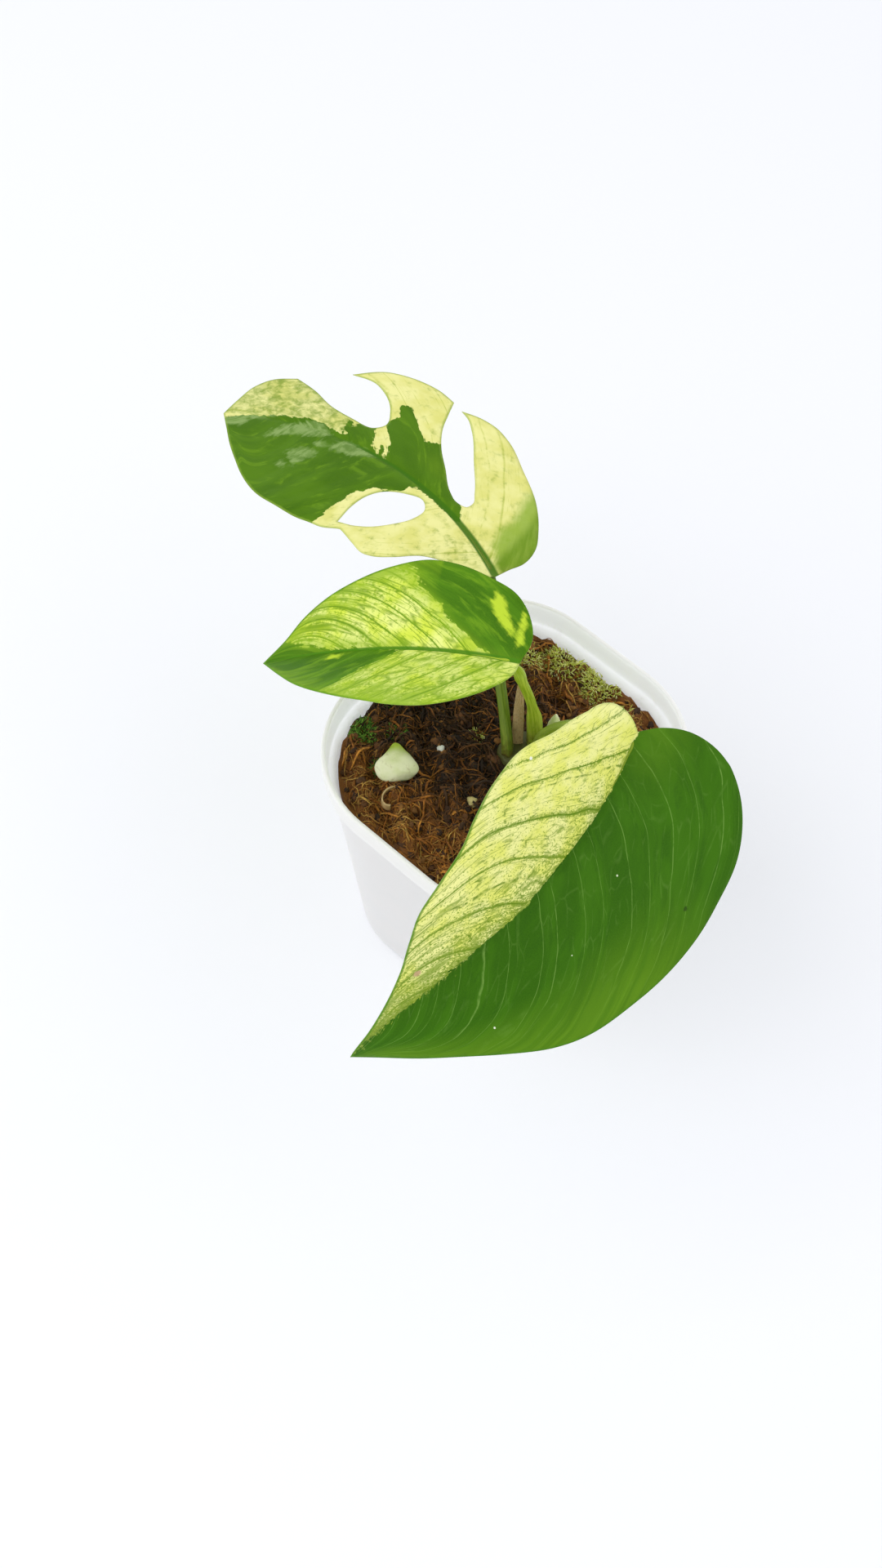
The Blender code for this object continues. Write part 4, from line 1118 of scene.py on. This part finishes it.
ridges = streaks * 0.6 + g.use(GRAIN, place, 1500.0) * 0.4
g.shade({"Base Color": g.mix(specks * 0.4, body, "3F6A14"), "Roughness": 0.4,
         "Specular IOR Level": 0.2, "Normal": g.bump(ridges, 0.05)})
for name, leaf in LEAVES.items():
    build_stalk(leaf["stalk"], leaf, stalk_green)

# %% [markdown]
# ## Crown, dry sheath and new shoot
# The stalks rise from a short stem with the rings of old leaves. Beside one stalk stands a
# dry papery sheath, the scale that once wrapped a young leaf. On the other side a pale new
# shoot comes up. The crown and the shoot are rings carried up a line; the sheath is a thin
# curled strip with a ragged top, drawn as a function of height and of the way across.

# %% The crown
CROWN_CENTRE = (5.1, -1.0)
CROWN_TURN = math.radians(-28.0)
CROWN_LONG = 6.2
CROWN_SHORT = 4.6
CROWN_BOTTOM = 34.0

crown_finish, g = new_finish("crown")
place = g.place()
# The two dark browns are partly the old stem's own colour and partly painted shade, as the crown sits low in
# shadow between the stalks.
ringed_and_shaded = g.mix(g.use(PATCHES, place, 420.0, 0.55, 0.12), "4A4A1C", "3A2A14")
top_green = g.ramp(g.part(place, 2), 0.0635, 0.0662)
g.shade({"Base Color": g.mix(top_green * 0.35, ringed_and_shaded, "5E6A24"), "Roughness": 0.6,
         "Normal": g.bump(g.use(GRAIN, place, 700.0), 0.2)})


def build_crown():
    """An oval column: half axes times a profile with three raised rings and a domed top."""
    heights = np.concatenate([np.linspace(CROWN_BOTTOM, CROWN_TOP - 1.2, 40),
                              CROWN_TOP - 1.2 + 1.2 * np.sin(np.linspace(0.2, math.pi / 2, 8))])
    share = np.interp(heights, [CROWN_BOTTOM, CROWN_BOTTOM + 2.5, 63, 65.2, CROWN_TOP - 0.3, CROWN_TOP],
                      [0.5, 0.88, 0.92, 0.98, 0.9, 0.55])
    for ring in (46.2, 57.2, 62.0):
        share = share + 0.09 * hill(heights, ring, 0.7)
    angle = round_steps(64)[None, :]
    knobs = 1 + 0.03 * np.sin(5 * angle + heights[:, None] * 0.5) + 0.015 * np.sin(11 * angle)
    x, y = turned(CROWN_LONG * np.cos(angle) * share[:, None] * knobs,
                  CROWN_SHORT * np.sin(angle) * share[:, None] * knobs, CROWN_TURN)
    rings = np.stack([CROWN_CENTRE[0] + x, CROWN_CENTRE[1] + y, heights[:, None] + 0 * x], axis=-1)
    make_piece("crown", *closed_loft(rings), crown_finish, "stalk", sharp=70, stands_for="main_stem")


build_crown()

# %% The dry sheath
SHEATH_HEIGHT = 23.5
SHEATH_WIDTH = 2.6
SHEATH_HALF = 0.18
SHEATH_FOOT = np.array([4.9, 0.6])

paper_tan, g = new_finish("dry paper")
flat = g.flat()
stretched = g.add("ShaderNodeVectorMath", {0: flat, 1: (1.0, 14.0, 1.0)}, operation="MULTIPLY")
fibres = g.ramp(g.noise(stretched, 9.0, 4.0, 0.6), 0.35, 0.68)
blots = g.use(PATCHES, flat, 9.0, 0.3, 0.1)
g.shade({"Base Color": g.mix(blots * 0.4, g.mix(fibres, "DDB374", "F8E0AE"), "9A7442"),
         "Roughness": 0.75, "Normal": g.bump(fibres, 0.12)})


def build_sheath():
    """Centre + along * across - facing * curl * across squared, on a grid up and across."""
    rows, columns = 70, 22
    facing = np.array([-0.74, -0.67])
    along = np.array([0.67, -0.74])
    share, part = np.meshgrid(np.linspace(0, 1, rows), np.linspace(-0.5, 0.5, columns), indexing="ij")
    across = part * SHEATH_WIDTH * (1 - 0.75 * share ** 3)
    ragged = 0.5 * np.sin(part * 23) + 0.35 * np.sin(part * 51 + 1)
    height = CROWN_TOP - 0.3 + SHEATH_HEIGHT * share + ragged * share ** 4 * (1 - 2 * np.abs(part))
    wave = 0.12 * np.sin(share * 9 + part * 4) * share + 0.05 * np.sin(part * 40)
    lean = np.stack([1.3 * share ** 0.7, 1.2 * share ** 0.7], axis=-1)
    bend = (0.16 * across ** 2 + wave)[..., None]
    place = SHEATH_FOOT + lean + along * across[..., None] - facing * bend
    skins = [np.concatenate([place + facing * side, height[..., None]], axis=-1)
             for side in (SHEATH_HALF, -SHEATH_HALF)]
    sheet = skin(rows, columns, closed=False)
    grid = np.arange(rows * columns).reshape(rows, columns)
    rim = np.concatenate([grid[0, :-1], grid[:-1, -1], grid[-1, :0:-1], grid[:0:-1, 0]])
    after = np.roll(rim, -1)
    edges = np.stack([rim, rim + grid.size, after + grid.size, after], axis=1)
    faces = np.concatenate([sheet, sheet[:, ::-1] + grid.size, edges])
    flat = np.tile(np.stack([height / 10, across / 10], axis=-1).reshape(-1, 2), (2, 1))
    make_piece("papery_sheath", skins, faces, paper_tan, "dry_sheath", flat=flat, sharp=60,
               stands_for="dry_sheath")


build_sheath()

# %% The new shoot
SOIL_LEVEL = 64.0
SHOOT_PLACE = (12.8, -3.2)
SHOOT_RADIUS = 1.7
SHOOT_TOP = 9.0

pale_growth, g = new_finish("pale growth")
place = g.place()
tender = g.mix(g.ramp(g.noise(place, 260.0, 3.0), 0.4, 0.62), "F6F9CE", "D8E69A")
foot = g.ramp(g.part(place, 2), 0.0645, 0.0675, 0.6, 0.0)
g.shade({"Base Color": g.mix(foot, tender, "C9B57C"), "Roughness": 0.45,
         "Normal": g.bump(g.use(GRAIN, place, 1300.0), 0.06)})


def build_shoot():
    """Rings up a leaning line; the radius follows a bud's profile, with one overlapping edge."""
    above = np.linspace(-8.0, SHOOT_TOP, 60)
    share = np.interp(above, [-8, 0, 1.5, 3.5, 5.5, 7.3, 8.4, SHOOT_TOP],
                      [0.7, 0.93, 1.0, 0.98, 0.82, 0.5, 0.24, 0.05])
    lean = 0.1 * np.clip(above - 1, 0, None)
    route = np.stack([SHOOT_PLACE[0] + lean, SHOOT_PLACE[1] + 0 * lean, SOIL_LEVEL + above], axis=-1)
    angle = round_steps(40)[None, :]
    high = np.clip(above, 0, SHOOT_TOP)[:, None]
    fold = 1 + 0.1 * hill(np.sin((angle - high * 0.18) / 2 - 0.8), 0, 0.16) * (high > 0)
    rings = carried_rings(route, SHOOT_RADIUS * share, fold * (1 + 0.02 * np.sin(6 * angle)))
    make_piece("new_shoot", *closed_loft(rings), pale_growth, "pale_growth", sharp=70, stands_for="new_bud")


build_shoot()

# %% [markdown]
# ## The soil
# The pot holds damp brown fibre with bits of moss. From a step away it reads as dark lumps
# with lighter threads on top. The solid underneath is a grid of shrinking rounded squares,
# raised by the same slow waves as the CAD and by finer noise. Threads, crumbs and moss are
# scattered over it by a seeded draw, each kind as one mesh made from whole arrays.

# %% The soil's surface
SOIL_LUMP = 1.1
SOIL_FALL = 1.6
GAP = 0.3
SOIL_SIDES = 192
SOIL_RINGS = 84


def beside_crown(x, y, reach):
    """A bell over the crown, falling with the squared distance over reach."""
    return np.exp(-((x - CROWN_CENTRE[0]) ** 2 + (y - CROWN_CENTRE[1]) ** 2) / reach)


def soil_height(x, y):
    """The slow waves of the CAD's soil, lower towards the wall."""
    lumps = (np.sin(0.43 * x + 1.3) * np.sin(0.37 * y + 0.4)
             + 0.7 * np.sin(0.81 * x - 0.55 * y + 2.1)
             + 0.45 * np.sin(1.27 * y + 0.62 * x))
    edge = (np.maximum(np.abs(x), np.abs(y)) / (POT_RIM_SIDE / 2)) ** 3
    return SOIL_LEVEL + SOIL_LUMP * lumps * (1 - 0.8 * beside_crown(x, y, 90.0)) - SOIL_FALL * edge


def soil_top(x, y):
    """The slow waves with finer lumps and pits."""
    rough = 0.75 * wave_noise(x, y, 6.0, 11, 4) - 0.8 * np.clip(wave_noise(x, y, 4.5, 12, 3) - 0.15, 0, 1)
    return soil_height(x, y) + rough * (1 - 0.7 * beside_crown(x, y, 60.0))


soil_brown, g = new_finish("soil brown")
place = g.place()
dark = g.mix(g.ramp(g.noise(place, 260.0, 4.0, 0.65), 0.35, 0.65), "171007", "452A10")
rust = g.use(PATCHES, place, 160.0, g.mark("rust"), 0.12)
bits = g.use(PATCHES, place, 900.0, 0.22, 0.05)
g.shade({"Base Color": g.mix(bits * 0.6, g.mix(rust * 0.75, dark, "8A541A"), "7A5C3A"),
         "Roughness": 0.85, "Normal": g.bump(g.use(GRAIN, place, 800.0), 0.6)})


def rust_share(x, y):
    """Rusty fibre lies along the walls at the left, the right and the front."""
    left = np.clip((-x - 12) / 16, 0, 1)
    right = np.clip((x - 14) / 14, 0, 1)
    front = 0.7 * np.clip((-y - 4) / 14, 0, 1)
    return np.clip(0.1 + left + right + front + 0.2 * (np.hypot(x, y) / 38) ** 4, 0, 1)


def evenly(ring, count):
    """The same closed ring with its points at equal steps, so that its straight sides have some too."""
    closed = np.vstack([ring, ring[:1]])
    gone = np.concatenate([[0], np.cumsum(np.linalg.norm(np.diff(closed, axis=0), axis=1))])
    stops = np.linspace(0, gone[-1], count, endpoint=False)
    return np.stack([np.interp(stops, gone, closed[:, k]) for k in range(3)], axis=1)


def build_soil():
    """Rounded squares from the bottom up the side, then shrinking to the middle of the top."""
    inset = WALL + GAP
    brim_height = SOIL_LEVEL - SOIL_FALL - 2 * SOIL_LUMP - 0.6
    heights = np.array([FLOOR + GAP, FLOOR + 2.0, 20.0, 40.0, brim_height])
    side, radius = wall_size(heights, np.array([inset + 1.5, inset, inset, inset, inset]))
    walls = np.stack([evenly(ring, SOIL_SIDES) for ring in rounded_square(side, radius, heights, steps=35)])
    shares = np.linspace(1, 0.012, SOIL_RINGS)[:, None, None]
    tops = np.repeat(walls[-1][None], len(shares), axis=0)
    tops[..., :2] = tops[..., :2] * shares
    tops[..., 2] = soil_top(tops[..., 0], tops[..., 1])
    points, faces = closed_loft(np.concatenate([walls, tops]))
    rust = rust_share(points[:, 0], points[:, 1])
    make_piece("soil_bed", points, faces, soil_brown, "soil", marks={"rust": rust}, stands_for="soil")


build_soil()

# %% [markdown]
# ## Threads, crumbs and moss
# Each scatter below is one array with a row for every bit. A thread is a short curved line
# with a three-sided section that shrinks to both ends. A crumb is a small seven-sided lump.
# A moss leaf is a thin pointed blade. Every one stores a random tone that the finish turns
# into its colour, so that no two neighbours match.

# %% Scatter helpers


def fits_pot(x, y, inset):
    """True where a point is inside the rounded square of the soil, an inset from its edge."""
    side, radius = wall_size(SOIL_LEVEL - 3, WALL + GAP + inset)
    over = np.maximum(np.abs(np.stack([x, y])) - (side / 2 - radius), 0)
    return np.hypot(over[0], over[1]) < radius


def clear_of_stalks(x, y, room):
    """True where a point is away from the crown and the shoot."""
    a, b = turned(x - CROWN_CENTRE[0], y - CROWN_CENTRE[1], -CROWN_TURN)
    crown = (a / (CROWN_LONG + room)) ** 2 + (b / (CROWN_SHORT + room)) ** 2 > 1
    return crown & (np.hypot(x - SHOOT_PLACE[0], y - SHOOT_PLACE[1]) > SHOOT_RADIUS + 0.1 + room)


def scatter_spots(draw, count, inset=0.8, room=0.3):
    """Random spots in the pot, clear of the stalks."""
    spots = draw.uniform(-36, 36, (count * 2, 2))
    good = fits_pot(spots[:, 0], spots[:, 1], inset) & clear_of_stalks(spots[:, 0], spots[:, 1], room)
    return spots[good][:count]


def many_tubes(paths, radii, sides=3):
    """One mesh of many thin tubes: paths is bits x stations x 3, radii is bits x stations."""
    bits, stations = paths.shape[:2]
    ahead = np.gradient(paths, axis=1)
    ahead /= np.linalg.norm(ahead, axis=2, keepdims=True)
    across = np.cross(ahead, np.array([0.1, 0.2, 1.0]))
    across /= np.linalg.norm(across, axis=2, keepdims=True) + 1e-9
    other = np.cross(ahead, across)[:, :, None, :]
    angle = round_steps(sides)[:, None]
    ring = np.cos(angle) * across[:, :, None, :] + np.sin(angle) * other
    points = paths[:, :, None, :] + ring * radii[:, :, None, None]
    return points, tube_faces(stations, sides, bits)


def add_scatter(name, points, faces, tones, stops, roughness, grain_size, slot="soil"):
    """A piece whose colour runs through stops with the tone that is stored for each bit."""
    paint, g = new_finish(name.replace("_", " "))
    place, tone = g.place(), g.mark("tone")
    colour = stops[0]
    for k, stop in enumerate(stops[1:]):
        colour = g.mix(g.ramp(tone, k / (len(stops) - 1), (k + 1) / (len(stops) - 1)), colour, stop)
    shade = g.ramp(g.noise(place, grain_size, 3.0), 0.3, 0.7, 0.0, 0.5)
    g.shade({"Base Color": g.mix(shade, colour, stops[0]), "Roughness": roughness,
             "Normal": g.bump(g.use(GRAIN, place, grain_size * 2), 0.1)})
    points = np.reshape(points, (-1, 3))
    marks = {"tone": np.repeat(tones, len(points) // len(tones))}
    return make_piece(name, points, faces, paint, slot, marks=marks)


# %% Threads of fibre
def build_threads(name, count, seed, lengths, thickness, lift, bend, stops, tone_shift):
    """Threads that wander over the soil: heading = start + bend * t + wave, height over the top."""
    draw = np.random.default_rng(seed)
    spots = scatter_spots(draw, count)
    count = len(spots)
    stations = 8
    t = np.linspace(-0.5, 0.5, stations)[None, :]
    length = draw.uniform(*lengths, (count, 1))
    heading = draw.uniform(0, 2 * math.pi, (count, 1)) + draw.normal(0, bend, (count, 1)) * t
    heading = heading + 0.22 * np.sin(9 * t + draw.uniform(0, 6, (count, 1)))
    x = spots[:, :1] + np.cumsum(np.cos(heading), axis=1) * length / stations
    y = spots[:, 1:] + np.cumsum(np.sin(heading), axis=1) * length / stations
    arch = draw.uniform(0, 1, (count, 1)) ** 3 * lift * (1 - 4 * t * t) + draw.uniform(0.0, 0.35, (count, 1))
    paths = np.stack([x, y, soil_top(x, y) + arch], axis=-1)
    keep = fits_pot(x, y, 0.5).all(axis=1) & clear_of_stalks(x, y, 0.2).all(axis=1)
    paths = paths[keep]
    radii = draw.uniform(*thickness, (count, 1))[keep] * (1 - (2 * t) ** 4 * 0.8)
    shift = tone_shift * rust_share(paths[:, 0, 0], paths[:, 0, 1])
    tone = np.clip(draw.uniform(0, 1, len(paths)) ** 1.8 * 0.58 + shift, 0, 1)
    add_scatter(name, *many_tubes(paths, radii), tone, stops, 0.8, 1500.0)


build_threads("soil_threads", 4500, 21, (2.5, 9.0), (0.07, 0.2), 1.7, 0.8,
              ["251708", "5E3B15", "A86C22", "D8A850"], 0.58)
build_threads("soil_strands", 700, 22, (4.0, 11.0), (0.18, 0.42), 1.5, 0.5,
              ["1F1307", "523210", "A8661A", "D89034"], 0.62)

# %% Crumbs


def build_crumbs(name, count, seed, sizes, stops):
    """Small lumps: a ball of 5 x 7 points, each stretched and dented by its own waves."""
    draw = np.random.default_rng(seed)
    spots = scatter_spots(draw, count, inset=1.2)
    count = len(spots)
    rows, sides = 5, 7
    level = np.linspace(-0.92, 0.92, rows)[:, None]
    angle = round_steps(sides)
    round_part = np.sqrt(1 - level ** 2)
    ball = np.stack([round_part * np.cos(angle), round_part * np.sin(angle), level + 0 * angle],
                    axis=-1).reshape(-1, 3)
    size = draw.uniform(*sizes, (count, 1, 1)) * draw.uniform(0.6, 1.3, (count, 1, 3))
    dent = 1 + 0.22 * np.sin(ball @ draw.normal(0, 3, (3, count)) + draw.uniform(0, 6, count)).T[..., None]
    turn = draw.uniform(0, 2 * math.pi, count)[:, None]
    shape = ball[None] * size * dent
    x, y = turned(shape[..., 0], shape[..., 1], turn)
    centre = soil_top(spots[:, 0], spots[:, 1]) + 0.35 * size[:, 0, 2]
    points = np.stack([spots[:, :1] + x, spots[:, 1:] + y, centre[:, None] + 0.75 * shape[..., 2]], axis=-1)
    tone = np.clip(draw.uniform(0, 1, count) ** 1.5 + 0.25 * rust_share(spots[:, 0], spots[:, 1]), 0, 1)
    add_scatter(name, points, tube_faces(rows, sides, count), tone, stops, 0.9, 1100.0)


build_crumbs("soil_crumbs", 1700, 31, (0.25, 0.95), ["20140B", "3F2714", "6E4520", "96662E"])

# %% Moss


def build_moss(name, tufts, seed, stops):
    """Moss leaves that fan out from mounds; a tuft is x, y, its radius and how many leaves."""
    draw = np.random.default_rng(seed)
    paths, radii = [], []
    t = np.linspace(0, 1, 5)[None, :]
    for cx, cy, spread, count in tufts:
        away = np.sqrt(draw.uniform(0, 1, (count, 1))) * spread
        angle = draw.uniform(0, 2 * math.pi, (count, 1))
        x0, y0 = cx + away * np.cos(angle), cy + away * np.sin(angle)
        mound = 0.35 * spread * (1 - (away / spread) ** 2)
        length = draw.uniform(0.8, 2.0, (count, 1))
        lean = angle + draw.normal(0, 0.9, (count, 1))
        out = length * (0.35 + 0.5 * away / spread) * t ** 1.3
        x, y = x0 + out * np.cos(lean), y0 + out * np.sin(lean)
        z = soil_top(x0, y0) + mound + length * 0.75 * (t - 0.45 * t * t) - 0.3
        good = fits_pot(x, y, 0.2).all(axis=1)
        paths.append(np.stack([x, y, z], axis=-1)[good])
        radii.append((draw.uniform(0.14, 0.26, (count, 1)) * (0.5 + 1.2 * t - 1.55 * t * t))[good])
    paths, radii = np.concatenate(paths), np.concatenate(radii)
    add_scatter(name, *many_tubes(paths, radii), draw.uniform(0, 1, len(paths)), stops, 0.7, 1500.0)


GREEN_TUFTS = [(-15.3, 30.2, 3.4, 420), (-4, 31, 2.4, 160), (-11, 24, 2.2, 120), (-20, 22, 2.0, 90)]
YELLOW_TUFTS = [(31.0, 9.0, 5.2, 620), (31.2, -2.0, 5.0, 620), (26, 15, 3.4, 260), (28, -10, 3.0, 160),
                (18, 20, 2.6, 140), (2, 10, 1.8, 70)]
build_moss("green_moss", GREEN_TUFTS, 41, ["3C6416", "669C26", "9AC44C"])
build_moss("yellow_moss", YELLOW_TUFTS, 42, ["B8C23C", "E0E472", "FBFBBC"])

# %% [markdown]
# ## Loose things on the soil
# A whitish green lump lies at the left, wide and white in front and narrow and green
# behind. There are two small grains and one curled scrap of dry leaf. The lump keeps the
# CAD's place and size, with a finer, smoother skin and a slightly narrower far end.

# %% The pale lump
LUMP_CENTRE = (-17.3, 17.8)
LUMP_HALF = (4.9, 4.3, 2.9)
LUMP_TURN = math.radians(43.0)
LUMP_TAPER = 0.62

lump_pale, g = new_finish("pale lump")
place = g.place()
chalk = g.mix(g.ramp(g.noise(place, 220.0, 3.0), 0.35, 0.65), "ECEEC8", "D6DEA2")
leafy = g.mix(g.ramp(g.mark("behind"), 0.0, 0.75), chalk, "A6BE2C")
pits = g.use(PATCHES, place, 700.0, 0.2, 0.07)
g.shade({"Base Color": g.mix(pits * 0.4, leafy, "A89A62"), "Roughness": 0.6,
         "Normal": g.bump(g.use(GRAIN, place, 600.0), 0.25)})


def build_lump():
    """A drop on its side: an oval ball whose width shrinks by 1 - taper * cos(angle) to its far end."""
    rows, sides = 48, 72
    level = np.sin(np.linspace(-math.pi / 2 + 0.06, math.pi / 2 - 0.06, rows))[:, None]
    angle = round_steps(sides)[None, :]
    share = np.sqrt(1 - level ** 2)
    lump = 1 + 0.05 * np.sin(3 * angle + 4 * level) + 0.03 * np.sin(5 * angle - 3 * level)
    x = LUMP_HALF[0] * share * lump * np.cos(angle)
    y = LUMP_HALF[1] * share * lump * np.sin(angle) * (1 - LUMP_TAPER * np.cos(angle))
    behind = np.clip(x / LUMP_HALF[0], 0, 1)
    x, y = turned(x, y, LUMP_TURN)
    x, y = LUMP_CENTRE[0] + x, LUMP_CENTRE[1] + y
    middle = float(soil_height(*np.array(LUMP_CENTRE))) + LUMP_HALF[2] * 0.8
    z = middle + LUMP_HALF[2] * level * (1 - 0.3 * behind) + 0.08 * wave_noise(x, y, 3.5, 51, 2)
    z = np.maximum(z, soil_height(x, y) - 0.2 + 0.05 * level)
    make_piece("lump_on_soil", *closed_loft(np.stack([x, y, z], axis=-1)), lump_pale, "pale_lump",
               marks={"behind": behind.ravel()}, stands_for="pale_lump")


build_lump()

# %% Two grains and a curled scrap of leaf
CURL_PLACE = np.array([-24.8, 12.1])


def build_grain(name, x, y, radius, seed, colours):
    """A dented ball half sunk in the soil."""
    level = np.sin(np.linspace(-1.45, 1.45, 14))[:, None]
    angle = round_steps(20)[None, :]
    share = np.sqrt(1 - level ** 2)
    lump = radius * (1 + 0.16 * np.sin(3 * angle + 3 * level + seed) + 0.08 * np.sin(7 * angle - 5 * level))
    px, py = x + share * lump * np.cos(angle), y + share * lump * np.sin(angle)
    pz = float(soil_top(np.array(x), np.array(y))) + 0.5 * radius + 0.8 * radius * level + 0 * px
    add_scatter(name, *closed_loft(np.stack([px, py, pz], axis=-1)), [0.9], colours, 0.8, 1200.0)


def build_curl():
    """A strip bent round an arc: radius 2.7 mm, a little over half a turn, rising as it goes."""
    turn, across = np.meshgrid(np.linspace(0.2, 3.9, 30), np.linspace(-0.5, 0.5, 6), indexing="ij")
    radius = 2.7 + 0.25 * np.sin(turn * 2)
    x = CURL_PLACE[0] + radius * np.cos(turn) + 0.25 * across
    y = CURL_PLACE[1] + radius * np.sin(turn) * 0.8
    z = soil_top(*CURL_PLACE) + 0.9 + 1.7 * across * (1 - 0.25 * np.sin(turn)) + 0.2 * turn
    piece = add_scatter("dry_curl", np.stack([x, y, z], axis=-1), skin(30, 6, closed=False),
                        0.65 + 0.5 * across.ravel(), ["8A6A3A", "B08F5C", "C9AE7E"], 0.75, 900.0)
    wall = piece.modifiers.new("thickness", "SOLIDIFY")
    wall.thickness = 0.35 * MM
    wall.offset = 0


build_grain("white_grain", -7.6, 12.9, 0.85, 1.0, ["C9CCC4", "F2F3EE"])
build_grain("pale_grain", -12.4, -1.2, 1.35, 2.0, ["A58F52", "D8C98A"])
build_curl()
